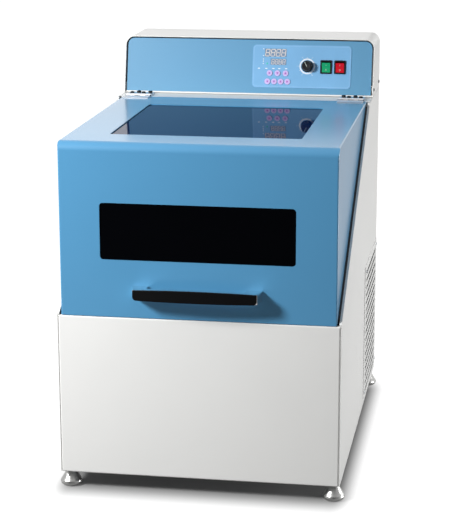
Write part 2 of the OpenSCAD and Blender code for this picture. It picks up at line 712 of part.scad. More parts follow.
module lid_liner() color("lightgray") from_front() {
  half = lid_half - lid_sheet - seam;
  in_half = lid_half - liner_depth;
  y0 = lid_sheet + seam;
  y1 = slant_run - 10 - seam;
  flange_v = liner_t / cos(slant_angle);
  d = liner_depth;
  back = slant_y(lid_top - d);
  glass_low = lid_top - lid_sheet - glass_t - seam;
  difference() {
    union() {
      slab_x(-half, half) polygon([
        [y0, slant(y0)], [y1, slant(y1)], [y1, slant(y1) + flange_v], [y0, slant(y0) + flange_v]
      ]);
      slab_x(-in_half, in_half) polygon([[d, slant(d)], [d, lid_top - d], [back, lid_top - d]]);
      slab_y(lid_sheet + glass_t + seam, d + liner_t) translate([0, window_z])
        rounded(window[0] + 6 + 2 * liner_t, window[1] + 6 + 2 * liner_t, window_r + 3);
      translate([0, top_window_mid, lid_top - d - liner_t]) linear_extrude(glass_low - lid_top + d + liner_t)
        rounded(top_window_size[0] + 6 + 2 * liner_t, top_window_size[1] + 6 + 2 * liner_t, window_r + 3);
    }
    slab_x(-in_half + liner_t, in_half - liner_t) polygon([
      [d + liner_t, 0], [d + liner_t, lid_top - d - liner_t],
      [back - liner_t, lid_top - d - liner_t], [back - liner_t, 0]
    ]);
    slab_y(0, d + 5) translate([0, window_z]) rounded(window[0] + 6, window[1] + 6, window_r + 2);
    translate([0, top_window_mid, lid_top - d - 5]) linear_extrude(d + 10)
      rounded(top_window_size[0] + 6, top_window_size[1] + 6, window_r + 2);
  }
}

module front_window() color("darkslategray") from_front() slab_y(lid_sheet, lid_sheet + glass_t)
  translate([0, window_z]) rounded(window[0] + 2 * glass_lap, window[1] + 2 * glass_lap, window_r);

module top_window() color("darkslategray") from_front()
  translate([0, top_window_mid, lid_top - lid_sheet - glass_t]) linear_extrude(glass_t)
    rounded(top_window_size[0] + 2 * glass_lap, top_window_size[1] + 2 * glass_lap, window_r);

// Handle

handle_z = front_top + handle_rise;
grip_half = handle_w[1] / 2;
foot_half = handle_w[0] / 2;
// Radius of an arc that rises by the given amount over the half width
function bow_r(half, rise) = (half * half + rise * rise) / (2 * rise);
front_bow_r = bow_r(grip_half, handle_bow);
tall_r = bow_r(grip_half, handle_tall[0] - handle_tall[1]);

// The front view of the strip, with a straight lower edge and an arched upper edge
module strip_view(extra) intersection() {
  translate([0, handle_tall[0] - tall_r]) circle(tall_r + extra, $fn = 1000);
  translate([0, handle_tall[0] / 2])
    rounded(2 * (grip_half + extra), handle_tall[0] + 2 * extra, 7);
}

// The plan of the bow between two depths from the handle's front
module bow_plan(near, far) difference() {
  translate([0, front_bow_r + near - handle_out]) circle(front_bow_r, $fn = 1000);
  translate([0, front_bow_r + far - handle_out]) circle(front_bow_r, $fn = 1000);
  translate([-front_bow_r - 1, 0]) square([2 * front_bow_r + 2, 2 * front_bow_r + 2]);
}

module handle_bar() color("silver") from_front() {
  intersection() {
    translate([0, 0, handle_z - 1]) linear_extrude(60) bow_plan(strip_t, handle_t);
    slab_y(-handle_out, 0) translate([0, handle_z]) strip_view(0);
  }
  both_sides() intersection() {
    translate([0, 0, handle_z - 1]) linear_extrude(60) polygon([
      [foot_half, 0], [foot_half, -4], [grip_half - 1, handle_bow + handle_t - handle_out - 3],
      [grip_half - 6, handle_bow + strip_t + 2 - handle_out],
      [grip_half - 30, handle_bow + strip_t + 2 - handle_out],
      [foot_half - handle_foot - 4, handle_bow + handle_t - handle_out - 2],
      [foot_half - handle_foot, -10], [foot_half - handle_foot, 0]
    ]);
    slab_y(-handle_out, 0) translate([0, handle_z + handle_tall[1] / 2])
      rounded(2 * foot_half + 20, handle_tall[1], 3);
  }
}

module handle_strip() color("black") from_front() intersection() {
  translate([0, 0, handle_z - 1]) linear_extrude(60) bow_plan(0, strip_t);
  slab_y(-handle_out - 1, 0) translate([0, handle_z]) strip_view(-0.8);
}

// Hinges

knuckle = hinge_w / 5;
lid_leaf_y = [hinge_y - leaf_clear - leaf[1], hinge_y - leaf_clear];
deck_leaf_y = [hinge_y + leaf_clear, hinge_y + leaf_clear + leaf[2]];
screw_row = [deck_leaf_y[1] - 24, deck_leaf_y[1] - 12];
hinge_screws = [for (i = [0 : 3])
  [hinge_x + (i - 1.5) * hinge_w / 4.23, i % 2 == 0 ? screw_row[1] : screw_row[0]]];

module barrel(i) translate([hinge_x - hinge_w / 2 + i * knuckle + 0.2, hinge_y, hinge_z])
  rotate([0, 90, 0]) cylinder(r = barrel_r, h = knuckle - 0.4);
module barrel_tab(i, y0, y1) box([hinge_x - hinge_w / 2 + i * knuckle + 0.2, y0, hinge_z - barrel_r + 1.2],
  [hinge_x - hinge_w / 2 + (i + 1) * knuckle - 0.2, y1, lid_top + leaf[0] + 1]);
module hinge_bore() translate([hinge_x - hinge_w, hinge_y, hinge_z]) rotate([0, 90, 0])
  cylinder(r = hinge_pin_r + run_fit, h = 2 * hinge_w);

module lid_hinge_leaves() color("silver") both_sides() from_front() difference() {
  union() {
    box([hinge_x - hinge_w / 2, lid_leaf_y[0], lid_top],
        [hinge_x + hinge_w / 2, lid_leaf_y[1], lid_top + leaf[0]]);
    for (i = [1, 3]) {
      barrel(i);
      barrel_tab(i, lid_leaf_y[1] - 2, hinge_y);
    }
  }
  hinge_bore();
}

module deck_hinge_leaves() color("silver") both_sides() from_front() difference() {
  union() {
    box([hinge_x - hinge_w / 2, deck_leaf_y[0], lid_top],
        [hinge_x + hinge_w / 2, deck_leaf_y[1], lid_top + leaf[0]]);
    for (i = [0, 2, 4]) {
      barrel(i);
      barrel_tab(i, hinge_y, deck_leaf_y[0] + 2);
    }
  }
  hinge_bore();
  for (p = hinge_screws) translate([p[0], p[1], lid_top - 1]) cylinder(r = screw_shank + 0.5, h = 10);
}

module hinge_pins() color("silver") both_sides() from_front()
  translate([hinge_x - hinge_w / 2 - 1.5, hinge_y, hinge_z]) rotate([0, 90, 0]) {
    cylinder(r = hinge_pin_r, h = hinge_w + 3);
    cylinder(r = barrel_r - 1, h = 1.5);
    translate([0, 0, hinge_w + 1.5]) cylinder(r = barrel_r - 1, h = 1.5);
  }

head_screw_y = [head_y + 20, body_d - 18];
head_screw_z = lid_top + 15;
module fixing_screws() color("dimgray") both_sides() from_front() {
  for (y = vent_screw_y, z = vent_screw_z) translate([vent_out, y, z]) rotate([0, 90, 0]) {
    cylinder(r = cover_screw[0], h = cover_screw[1]);
    translate([0, 0, -8]) cylinder(r = screw_shank, h = 9);
  }
  for (y = head_screw_y) translate([half_w, y, head_screw_z]) rotate([0, 90, 0]) {
    cylinder(r = cover_screw[0], h = cover_screw[1]);
    translate([0, 0, -8]) cylinder(r = screw_shank, h = 9);
  }
  for (p = hinge_screws) translate([p[0], p[1], 0]) {
    translate([0, 0, lid_top + leaf[0]]) cylinder(r = hinge_screw[0], h = hinge_screw[1]);
    translate([0, 0, lid_top - 8]) cylinder(r = screw_shank, h = 9 + leaf[0]);
  }
}

// Control head

function head_front(z) = head_y + (z - lid_top) * tan(head_tilt);
head_low = lid_top + 1;
// The head's front view, with its walls moved in by t
module head_view(t) {
  w = 2 * (half_w - t);
  r = head_r - t;
  translate([-w / 2, head_low - 1]) square([w, head_top - t - r - head_low + 1]);
  translate([-w / 2 + r, head_low - 1]) square([w - 2 * r, head_top - t - head_low + 1]);
  for (x = [-1, 1]) translate([x * (w / 2 - r), head_top - t - r]) circle(r);
}
module head_block() intersection() {
  slab_y(head_y - 20, body_d) head_view(0);
  slab_x(-half_w, half_w) polygon([
    [head_front(head_low), head_low], [body_d, head_low], [body_d, head_top],
    [head_front(head_top), head_top]
  ]);
}
// A frame with X across the panel, Y up the panel and Z out of the panel's face
module on_panel() from_front() translate([0, head_y + panel_recess, lid_top])
  rotate([90 - head_tilt, 0, 0]) children();
panel_high = (head_h - sheet - 3.2) / cos(head_tilt);

module head_shell() color("whitesmoke") {
  from_front() difference() {
    head_block();
    slab_y(head_y - 30, body_d - sheet) head_view(sheet);
    both_sides() for (y = head_screw_y) translate([0, y, head_screw_z]) rotate([0, 90, 0])
      cylinder(r = screw_shank + 0.2, h = half_w + 5);
  }
  on_panel() box([-half_w + sheet - 0.2, 1.2, -3.5], [half_w - sheet + 0.2, panel_low - seam, 0]);
  both_sides() on_panel() {
    box([half_w - 16, 30, -panel_t - 16], [half_w - sheet + 0.2, 110, -panel_t - 14]);
    box([half_w - 16, 30, -panel_t - 15], [half_w - 14, 110, -panel_t]);
  }
}

module panel_outline(w, high, r) intersection() {
  translate([0, high - 500]) rounded(w, 1000, r);
  translate([-w / 2, panel_low]) square([w, high]);
}

key_at = [for (x = upper_keys) [x, key_rows[1]], for (x = lower_keys) [x, key_rows[0]]];
display_at = [[60.9, 94.8, 48.6, 17.6], [67.5, 74.7, 35.2, 13.4]];
module panel_openings() {
  for (p = key_at) translate(p) circle(key_r + 0.3);
  for (d = display_at) translate([d[0] - d[2] / 2, d[1] - d[3] / 2]) square([d[2], d[3]]);
  translate(knob_at) circle(5);
  for (x = rocker_x) translate([x, rocker_v]) square(rocker_frame - [3, 3], center = true);
}

module control_panel() color("skyblue") on_panel() translate([0, 0, -panel_t]) linear_extrude(panel_t)
  difference() {
    panel_outline(2 * (half_w - panel_gap), panel_high, head_r - panel_gap);
    panel_openings();
  }

module overlay_sheet() color("lightskyblue") on_panel() linear_extrude(overlay_t) difference() {
  translate(overlay_at) rounded(overlay[0], overlay[1], 9);
  panel_openings();
}

board_z = -panel_t - 2.4;
board_t = 1.6;
module display_module() color("ivory") on_panel() for (d = display_at)
  translate([d[0] - d[2] / 2 + seam, d[1] - d[3] / 2 + seam, board_z])
    cube([d[2] - 2 * seam, d[3] - 2 * seam, overlay_t - board_z - 0.2]);

module control_board() color("darkgreen") on_panel() {
  translate([28, 22, board_z - board_t]) cube([80, 86, board_t]);
  for (x = [32, 104], y = [26, 104]) translate([x, y, board_z - 0.01])
    cylinder(r = 3, h = -panel_t - board_z + 0.01);
  for (p = key_at) translate([p[0], p[1], board_z - 0.01]) cylinder(r = 1.5, h = 0.41);
}

module key(i) on_panel() translate([key_at[i][0], key_at[i][1], 0]) {
  translate([0, 0, -panel_t - 1.1]) cylinder(r = key_r, h = key_move[0] + panel_t + 1.1);
  translate([0, 0, -panel_t - 1.1]) cylinder(r = key_r + 0.8, h = 0.8);
}
module key_1() color("pink") key(0);
module key_2() color("pink") key(1);
module key_3() color("pink") key(2);
module key_4() color("pink") key(3);
module key_5() color("pink") key(4);
module key_6() color("pink") key(5);
module key_7() color("pink") key(6);

module potentiometer() color("gray") on_panel() translate([knob_at[0], knob_at[1], 0]) difference() {
  union() {
    translate([0, 0, -panel_t - 12]) cylinder(r = 12, h = 12);
    translate([0, 0, -panel_t - 1]) cylinder(r = 4.6, h = panel_t + overlay_t + 3);
    translate([0, 0, overlay_t]) cylinder(r = 7, h = 2, $fn = 6);
  }
  translate([0, 0, -panel_t - 10]) cylinder(r = knob_shaft + run_fit, h = 30);
}

module speed_knob() color("black") on_panel() translate([knob_at[0], knob_at[1], 0]) {
  difference() {
    translate([0, 0, overlay_t + 0.6]) cylinder(r = knob[0], h = knob[1]);
    translate([0, 0, overlay_t]) cylinder(r = knob[0] - 3, h = 4.6);
  }
  translate([0, 0, -panel_t - 9]) cylinder(r = knob_shaft, h = 9 + panel_t + 6);
}

rocker_pivot = -5;
rocker_size = [rocker_frame[0] - 7, rocker_frame[1] - 8];
module rocker_frames() color("black") on_panel() for (x = rocker_x) translate([x, rocker_v, 0])
  difference() {
    union() {
      translate([0, 0, overlay_t]) linear_extrude(2) rounded(rocker_frame[0], rocker_frame[1], 2);
      translate([0, 0, -14]) linear_extrude(15) square(rocker_frame - [3.6, 3.6], center = true);
    }
    translate([0, 0, -11]) linear_extrude(20) square(rocker_size + [1, 2.8], center = true);
    translate([-20, 0, rocker_pivot]) rotate([0, 90, 0]) cylinder(r = 1.5 + run_fit, h = 40);
  }

// A rocker on its trunnions, tilted the given way
module rocker(i, way) on_panel() translate([rocker_x[i], rocker_v, rocker_pivot])
  rotate([way * rocker_tilt, 0, 0]) {
    h = rocker_size[1] / 2;
    slab_x(-rocker_size[0] / 2, rocker_size[0] / 2) polygon([
      [-h + 0.5, 8.6], [0, 7], [h - 0.5, 8.6], [h - 1, 0], [4, -4.5], [-4, -4.5], [-h + 1, 0]
    ]);
    translate([-rocker_frame[0] / 2 + 2.2, 0, 0]) rotate([0, 90, 0])
      cylinder(r = 1.5, h = rocker_frame[0] - 4.4);
  }
module green_rocker() color("seagreen") rocker(0, 1);
module red_rocker() color("crimson") rocker(1, 1);

base_pan();
levelling_feet();
support_columns();
front_panel();
rear_panel();
left_side_panel();
right_side_panel();
vent_covers();
fixing_screws();
top_deck();
chamber_tub();
chamber_insulation();
rim_gasket();
drive_plate();
crank_housings();
crank_bearings();
main_crank();
left_idler_crank();
right_idler_crank();
driven_pulley();
drive_motor();
motor_pulley();
drive_belt();
tray_carrier();
shaker_tray();
fan_motor();
fan_wheel();
fan_cover();
heater();
evaporator();
temperature_probe();
compressor();
condenser();
power_inlet();
lid_shell();
lid_liner();
front_window();
top_window();
handle_bar();
handle_strip();
lid_hinge_leaves();
deck_hinge_leaves();
hinge_pins();
head_shell();
control_panel();
overlay_sheet();
display_module();
control_board();
key_1();
key_2();
key_3();
key_4();
key_5();
key_6();
key_7();
potentiometer();
speed_knob();
rocker_frames();
green_rocker();
red_rocker();
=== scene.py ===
"""Looks of the incubated shaker: its finishes, the fine pieces of its control head, and the studio.

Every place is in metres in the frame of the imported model: Z is up, the front faces -Y.
Sizes are in millimetres, as a maker would write them, where nothing else is said.
"""

from __future__ import annotations

import logging
import math
from collections.abc import Iterable, Sequence
from dataclasses import dataclass, field
from enum import Enum
from functools import cache, partialmethod

import bpy
import numpy as np
from mathutils import Matrix, Vector

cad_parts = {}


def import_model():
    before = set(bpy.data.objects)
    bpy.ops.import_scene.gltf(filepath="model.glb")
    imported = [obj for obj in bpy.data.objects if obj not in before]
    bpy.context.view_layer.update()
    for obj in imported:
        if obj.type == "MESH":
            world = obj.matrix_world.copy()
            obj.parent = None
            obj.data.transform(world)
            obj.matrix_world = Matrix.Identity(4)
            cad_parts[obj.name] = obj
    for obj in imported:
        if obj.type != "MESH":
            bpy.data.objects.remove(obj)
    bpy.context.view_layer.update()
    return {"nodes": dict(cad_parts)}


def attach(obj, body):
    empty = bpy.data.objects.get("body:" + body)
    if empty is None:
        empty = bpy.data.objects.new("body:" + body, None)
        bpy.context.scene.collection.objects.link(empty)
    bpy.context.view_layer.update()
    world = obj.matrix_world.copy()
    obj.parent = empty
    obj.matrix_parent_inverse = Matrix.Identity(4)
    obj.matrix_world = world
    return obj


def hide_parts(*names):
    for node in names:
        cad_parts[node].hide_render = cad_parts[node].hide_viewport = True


LOG = logging.getLogger("shaker")
MM = 0.001
Pair = tuple[float, float]
Triple = tuple[float, float, float]
Colour = Triple
Bar = tuple[float, float, float, Pair]
Outline = np.ndarray
EVEN: Triple = (1.0, 1.0, 1.0)


class Value:
    """One shader socket that takes part in Python arithmetic.

    Each operator makes one Math node. Over is 1 where this value is greater than the other one, and
    0 elsewhere; at_least is the greater of both; distance is this value without its sign.
    """

    def __init__(self, graph: Graph, socket: bpy.types.NodeSocket) -> None:
        """Keep the socket and the graph that it belongs to."""
        self.graph = graph
        self.socket = socket

    def _math(self, operation: str, other: object = 0.0, flipped: bool = False) -> Value:
        """Return the result of one Math node.

        Args:
            operation: The node's operation.
            other: The other value or number.
            flipped: True where the other one comes first.
        """
        first, second = (other, self) if flipped else (self, other)
        return self.graph.node("Math", {0: first, 1: second}, operation=operation)

    __add__ = __radd__ = partialmethod(_math, "ADD")
    __sub__ = partialmethod(_math, "SUBTRACT")
    __rsub__ = partialmethod(_math, "SUBTRACT", flipped=True)
    __mul__ = __rmul__ = partialmethod(_math, "MULTIPLY")
    __truediv__ = partialmethod(_math, "DIVIDE")
    over = partialmethod(_math, "GREATER_THAN")
    at_least = partialmethod(_math, "MAXIMUM")
    distance = partialmethod(_math, "ABSOLUTE")
    to_power = partialmethod(_math, "POWER")

    def limited(self) -> Value:
        """Keep this value between 0 and 1."""
        return self.graph.node("Clamp", {0: self})


class Graph:
    """The node tree of a material or the world, with one method that makes every node."""

    def __init__(self, owner: bpy.types.Material | bpy.types.World) -> None:
        """Start an empty tree in a new material or world.

        Args:
            owner: That material or world.
        """
        owner.use_nodes = True
        self.owner = owner
        self.tree = owner.node_tree
        self.tree.nodes.clear()

    def node(
        self, kind: str, inputs: dict[int | str, object], output: int | str = 0, **settings: object
    ) -> Value:
        """Make a node, set it up and link it.

        Args:
            kind: The node's type, without the word that every type starts with.
            inputs: Numbers, colours or values for the sockets, by index or by name.
            output: The output socket that the result stands for.
            settings: Attributes to set before the sockets.

        Returns:
            The chosen output as a value.
        """
        made = self.tree.nodes.new(f"ShaderNode{kind}")
        for name, setting in settings.items():
            setattr(made, name, setting)
        for key, given in inputs.items():
            if isinstance(given, Value):
                self.tree.links.new(given.socket, made.inputs[key])
            elif isinstance(given, tuple) and len(given) == 3 and made.inputs[key].type == "RGBA":
                made.inputs[key].default_value = (*given, 1.0)
            else:
                made.inputs[key].default_value = given
        return Value(self, made.outputs[output]) if made.outputs else Value(self, None)

    def rays(self, *kinds: str) -> Value:
        """Return 1 where the light path is of one of these kinds, and 0 elsewhere.

        Args:
            kinds: Camera, Glossy or Transmission.

        Returns:
            The sum for those kinds, kept between 0 and 1.
        """
        total = 0.0
        for kind in kinds:
            total = total + self.node("LightPath", {}, f"Is {kind} Ray")
        return total.limited()

    def part(self, where: Value, axis: str) -> Value:
        """Return the X, Y or Z of a place or direction."""
        return self.node("SeparateXYZ", {0: where}, axis)

    def smooth_step(self, value: Value, low: float, high: float) -> Value:
        """Return a soft rise from 0 to 1 while the value goes from low to high."""
        ends = {"Value": value, "From Min": low, "From Max": high}
        return self.node("MapRange", ends, interpolation_type="SMOOTHSTEP")

    def place(self, stretch: Triple = EVEN) -> Value:
        """Return Object coordinates, stretched along the axes."""
        where = self.node("TexCoord", {}, "Object")
        return self.node("Mapping", {"Vector": where, "Scale": stretch})

    def noise(self, per_metre: float, detail: float = 2.0, stretch: Triple = EVEN) -> Value:
        """Return a soft noise with so many lumps a metre."""
        where = self.place(stretch)
        return self.node("TexNoise", {"Vector": where, "Scale": per_metre, "Detail": detail})

    def tint(self, colour: Colour, cloud: Value, low: float, high: float) -> Value:
        """Return a colour times a factor, which goes from low to high with the cloud."""
        sockets = {0: cloud, 6: shade(colour, low), 7: shade(colour, high)}
        return self.node("Mix", sockets, 2, data_type="RGBA")

    def bump(self, height: Value, depth: float) -> Value:
        """Turn a height into a normal; the depth is in millimetres."""
        return self.node("Bump", {"Height": height, "Distance": depth * MM})

    def surface(self, sockets: dict[str, object]) -> bpy.types.Material:
        """Close the graph with a Principled surface and return its material.

        Args:
            sockets: What goes into the surface's sockets.

        Returns:
            The graph's material.
        """
        shader = self.node("BsdfPrincipled", sockets)
        self.node("OutputMaterial", {"Surface": shader})
        return self.owner


def shade(colour: Colour, factor: float) -> Colour:
    """Return a colour made darker or lighter by a factor."""
    return tuple(min(1.0, part * factor) for part in colour)


@dataclass(frozen=True)
class Paint:
    """A sprayed or powdered paint with a fine orange-peel surface and a slight unevenness.

    Attributes:
        name: Name of the material.
        colour: Colour of the paint.
        roughness: Roughness of the pigment layer.
        coat: Weight of the clear gloss on top.
        peel: Depth of the orange peel.
        lumps: Lumps of the orange peel in a metre.
        haze: Roughness of the clear gloss.
        sheen: Level of the pigment layer's own gloss, where 0.5 is plain.
    """

    name: str
    colour: Colour
    roughness: float
    coat: float
    peel: float
    lumps: float
    haze: float = 0.08
    sheen: float = 0.5

    def material(self) -> bpy.types.Material:
        """Build the material.

        Returns:
            The finished material.
        """
        graph = Graph(bpy.data.materials.new(self.name))
        cloud = graph.noise(per_metre=6.0, detail=3.0)
        grain = graph.noise(self.lumps)
        return graph.surface({
            "Base Color": graph.tint(self.colour, cloud, low=0.975, high=1.02),
            "Roughness": self.roughness + 0.08 * (cloud - 0.5) + 0.06 * (grain - 0.5),
            "Coat Weight": self.coat,
            "Coat Roughness": self.haze,
            "Coat IOR": 1.35,
            "IOR": 1.5,
            "Specular IOR Level": self.sheen,
            "Normal": graph.bump(grain, self.peel),
        })


@dataclass(frozen=True)
class Metal:
    """A bare metal, brushed along one axis, turned, cast or polished.

    Attributes:
        name: Name of the material.
        colour: Colour of the reflection.
        roughness: Mean roughness.
        stretch: Scale of the grain along X, Y and Z; a small number draws it out.
        lumps: Lumps of the grain in a metre, before it is drawn out.
        depth: Depth of the grain.
    """

    name: str
    colour: Colour
    roughness: float
    stretch: Triple = EVEN
    lumps: float = 400.0
    depth: float = 0.01

    def material(self) -> bpy.types.Material:
        """Build the material.

        Returns:
            The finished material.
        """
        graph = Graph(bpy.data.materials.new(self.name))
        grain = graph.noise(self.lumps, detail=3.0, stretch=self.stretch)
        smear = graph.noise(per_metre=14.0)
        return graph.surface({
            "Base Color": graph.tint(self.colour, smear, low=0.93, high=1.04),
            "Metallic": 1.0,
            "Roughness": (self.roughness + 0.3 * self.roughness * (grain + smear - 1.0)).limited(),
            "Normal": graph.bump(grain, self.depth),
        })


@dataclass(frozen=True)
class Plastic:
    """A moulded plastic, rubber or film with a fine grain.

    Attributes:
        name: Name of the material.
        colour: Colour of the plastic.
        roughness: Mean roughness.
        grain: Depth of the grain.
        glow: Strength of its own light, for a lit lamp.
        sheen: Level of its gloss, where 0.5 is plain.
    """

    name: str
    colour: Colour
    roughness: float
    grain: float = 0.01
    glow: float = 0.0
    sheen: float = 0.5

    def material(self) -> bpy.types.Material:
        """Build the material.

        Returns:
            The finished material.
        """
        graph = Graph(bpy.data.materials.new(self.name))
        fine = graph.noise(per_metre=1500.0)
        broad = graph.noise(per_metre=25.0)
        return graph.surface({
            "Base Color": graph.tint(self.colour, broad, low=0.94, high=1.05),
            "Roughness": (self.roughness + 0.1 * (fine - 0.5) + 0.06 * (broad - 0.5)).limited(),
            "IOR": 1.47,
            "Specular IOR Level": self.sheen,
            "Emission Color": self.colour,
            "Emission Strength": self.glow,
            "Normal": graph.bump(fine, self.grain),
        })


@dataclass(frozen=True)
class DarkGlass:
    """A pane of glass so deeply tinted that it looks black from outside.

    Attributes:
        name: Name of the material.
        colour: Tint of the pane.
        gloss: Level of the mirror reflection.
    """

    name: str
    colour: Colour
    gloss: float

    def material(self) -> bpy.types.Material:
        """Build the material.

        Returns:
            The finished material.
        """
        graph = Graph(bpy.data.materials.new(self.name))
        haze = graph.noise(per_metre=9.0, detail=3.0)
        return graph.surface({
            "Base Color": graph.tint(self.colour, haze, low=1.0, high=1.3),
            "Roughness": 0.015 + 0.03 * haze,
            "IOR": 1.52,
            "Specular IOR Level": self.gloss,
            "Normal": graph.bump(graph.noise(per_metre=3.0, detail=1.0), depth=0.02),
        })


class Finish(Enum):
    """Every finish on the machine."""

    WHITE_POWDER = Paint("white_powder_coat", (0.80, 0.80, 0.785), 0.42, 0.15, 0.012, 900.0)
    BLUE_GLOSS = Paint("blue_gloss_paint", (0.073, 0.268, 0.475), 0.5, 0.9, 0.004, 420.0, 0.2, 0.3)
    PANEL_BLUE = Paint("panel_blue_paint", (0.107, 0.315, 0.515), 0.48, 0.8, 0.004, 420.0, 0.12)
    FILM_BLUE = Plastic("overlay_film", (0.2, 0.445, 0.715), 0.36, 0.004)
    ZINC = Metal("zinc_plate", (0.62, 0.64, 0.66), 0.42, lumps=120.0)
    STAINLESS = Metal("brushed_stainless", (0.68, 0.68, 0.67), 0.3, (0.04, 1.0, 1.0), 900.0)
    TURNED_STEEL = Metal("turned_steel", (0.55, 0.55, 0.56), 0.25, (1.0, 1.0, 0.05), 1200.0)
    CHROME = Metal("polished_chrome", (0.86, 0.87, 0.88), 0.07, lumps=60.0, depth=0.002)
    FOOT_METAL = Metal("plated_foot", (0.5, 0.5, 0.49), 0.3, (1.0, 1.0, 0.1), 700.0)
    HINGE_METAL = Metal("hinge_plate", (0.84, 0.84, 0.86), 0.36, (0.05, 1.0, 1.0), 900.0)
    CAST = Metal("cast_aluminium", (0.6, 0.61, 0.62), 0.5, lumps=260.0, depth=0.05)
    FINS = Metal("fin_aluminium", (0.72, 0.73, 0.74), 0.35, (1.0, 1.0, 0.1), 500.0)
    HEATER_METAL = Metal("heater_sheath", (0.32, 0.29, 0.27), 0.45, lumps=300.0)
    DARK_STEEL = Metal("blackened_screw", (0.13, 0.13, 0.14), 0.4, lumps=500.0)
    MOTOR_ENAMEL = Paint("black_enamel", (0.02, 0.02, 0.022), 0.4, 0.4, 0.01, 500.0)
    FOAM = Plastic("insulating_foam", (0.72, 0.62, 0.36), 0.85, 0.3)
    RUBBER = Plastic("black_rubber", (0.015, 0.015, 0.016), 0.7, 0.02)
    BLACK_GLOSS = Plastic("black_gloss_plastic", (0.004, 0.004, 0.0045), 0.2, 0.002, sheen=0.1)
    BLACK_SATIN = Plastic("black_satin_plastic", (0.01, 0.01, 0.012), 0.42, 0.01, sheen=0.25)
    BOARD = Plastic("circuit_board", (0.01, 0.12, 0.04), 0.4, 0.02)
    LILAC_KEY = Plastic("lilac_key", (0.57, 0.44, 0.8), 0.4)
    KEY_MARK = Plastic("key_mark", (0.42, 0.08, 0.42), 0.4)
    KEY_RING = Plastic("key_ring", (0.74, 0.62, 0.9), 0.4)
    WHITE_PRINT = Plastic("white_print", (0.8, 0.86, 0.93), 0.45)
    PALE_LINE = Plastic("pale_line", (0.36, 0.6, 0.86), 0.4)
    DIGIT = Plastic("display_segment", (0.84, 0.74, 0.64), 0.35, 0.004, 0.1)
    ROCKER_PRINT = Plastic("rocker_print", (0.5, 0.56, 0.5), 0.4)
    DISPLAY_FACE = Plastic("display_face", (0.2, 0.29, 0.42), 0.3)
    GREEN = Plastic("green_rocker_plastic", (0.012, 0.36, 0.15), 0.24, 0.004)
    RED = Plastic("red_rocker_plastic", (0.62, 0.008, 0.02), 0.24, 0.004)
    GREEN_LAMP = Plastic("green_lamp", (0.05, 0.55, 0.35), 0.25, 0.004, 0.3)
    FRONT_GLASS = DarkGlass("front_pane", (0.001, 0.0012, 0.0018), 0.01)
    TOP_GLASS = DarkGlass("top_pane", (0.0012, 0.011, 0.055), 0.026)

    @cache
    def material(self) -> bpy.types.Material:
        """Build the finish's material the first time, and return the same one later."""
        return self.value.material()

    def dress(self, piece: bpy.types.Object) -> None:
        """Put the finish on every material slot of a piece.

        Args:
            piece: An object with a mesh.
        """
        if not piece.material_slots:
            piece.data.materials.append(None)
        for slot in piece.material_slots:
            slot.material = self.material()


def rounded_outline(
    width: float, height: float, radius: float, centre: Pair = (0.0, 0.0), steps: int = 6
) -> Outline:
    """Outline of a rectangle whose four corners are quarter circles, counter-clockwise.

    Each corner's points are the corner circle's centre plus the radius times the cosine and sine of
    an angle that runs through a quarter turn.

    Args:
        width: Full width.
        height: Full height.
        radius: Corner radius.
        centre: Middle of the rectangle.
        steps: Steps in each quarter turn.

    Returns:
        The points of the outline, one a row.
    """
    quarter = np.repeat(np.arange(4), steps + 1)
    angle = (quarter + np.tile(np.linspace(0, 1, steps + 1), 4)) * math.pi / 2
    side = np.where((quarter == 0) | (quarter == 3), 1, -1), np.where(quarter < 2, 1, -1)
    across = centre[0] + side[0] * (width / 2 - radius) + radius * np.cos(angle)
    along = centre[1] + side[1] * (height / 2 - radius) + radius * np.sin(angle)
    return np.column_stack([across, along])


def disc_outline(radius: float, centre: Pair = (0.0, 0.0), steps: int = 32) -> Outline:
    """Outline of a circle: its centre plus the radius times the cosine and sine of the angle."""
    angle = np.arange(steps) * 2 * math.pi / steps
    return np.column_stack([centre[0] + radius * np.cos(angle), centre[1] + radius * np.sin(angle)])


def turned(outline: Outline, degrees: float, centre: Pair = (0.0, 0.0)) -> Outline:
    """Turn an outline about the origin and move it to a centre."""
    c, s = math.cos(math.radians(degrees)), math.sin(math.radians(degrees))
    return outline @ np.array([[c, s], [-s, c]]) + np.array(centre)


@dataclass(frozen=True)
class Face:
    """A flat place on the machine: u runs along it, v up it, and w out of it.

    Attributes:
        origin: Where u, v and w are nought, in millimetres.
        u: Direction of u.
        v: Direction of v.
        w: Direction of w.
    """

    origin: Triple
    u: Triple = (1.0, 0.0, 0.0)
    v: Triple = (0.0, 1.0, 0.0)
    w: Triple = (0.0, 0.0, 1.0)

    def points(self, local: np.ndarray) -> np.ndarray:
        """Turn rows of (u, v, w) in millimetres into places in metres."""
        return (np.array(self.origin) + local @ np.array([self.u, self.v, self.w])) * MM


# Where the cabinet's front stands along Y, in millimetres
FRONT = -379.75
# Height of the overlay film's face above the control panel, in millimetres
FILM = 0.8
# How far the control panel leans back, and its face
LEAN = math.radians(12.9)
PANEL = Face(
    (0.0, FRONT + 632.5, 707.0),
    v=(0.0, math.sin(LEAN), math.cos(LEAN)),
    w=(0.0, -math.cos(LEAN), math.sin(LEAN)),
)


def show(name: str, data: bpy.types.ID) -> bpy.types.Object:
    """Make an object of a mesh, lamp, camera or curve, and put it in the scene.

    Args:
        name: Name of the object.
        data: What it shows.

    Returns:
        The object.
    """
    made = bpy.data.objects.new(name, data)
    bpy.context.scene.collection.objects.link(made)
    return made


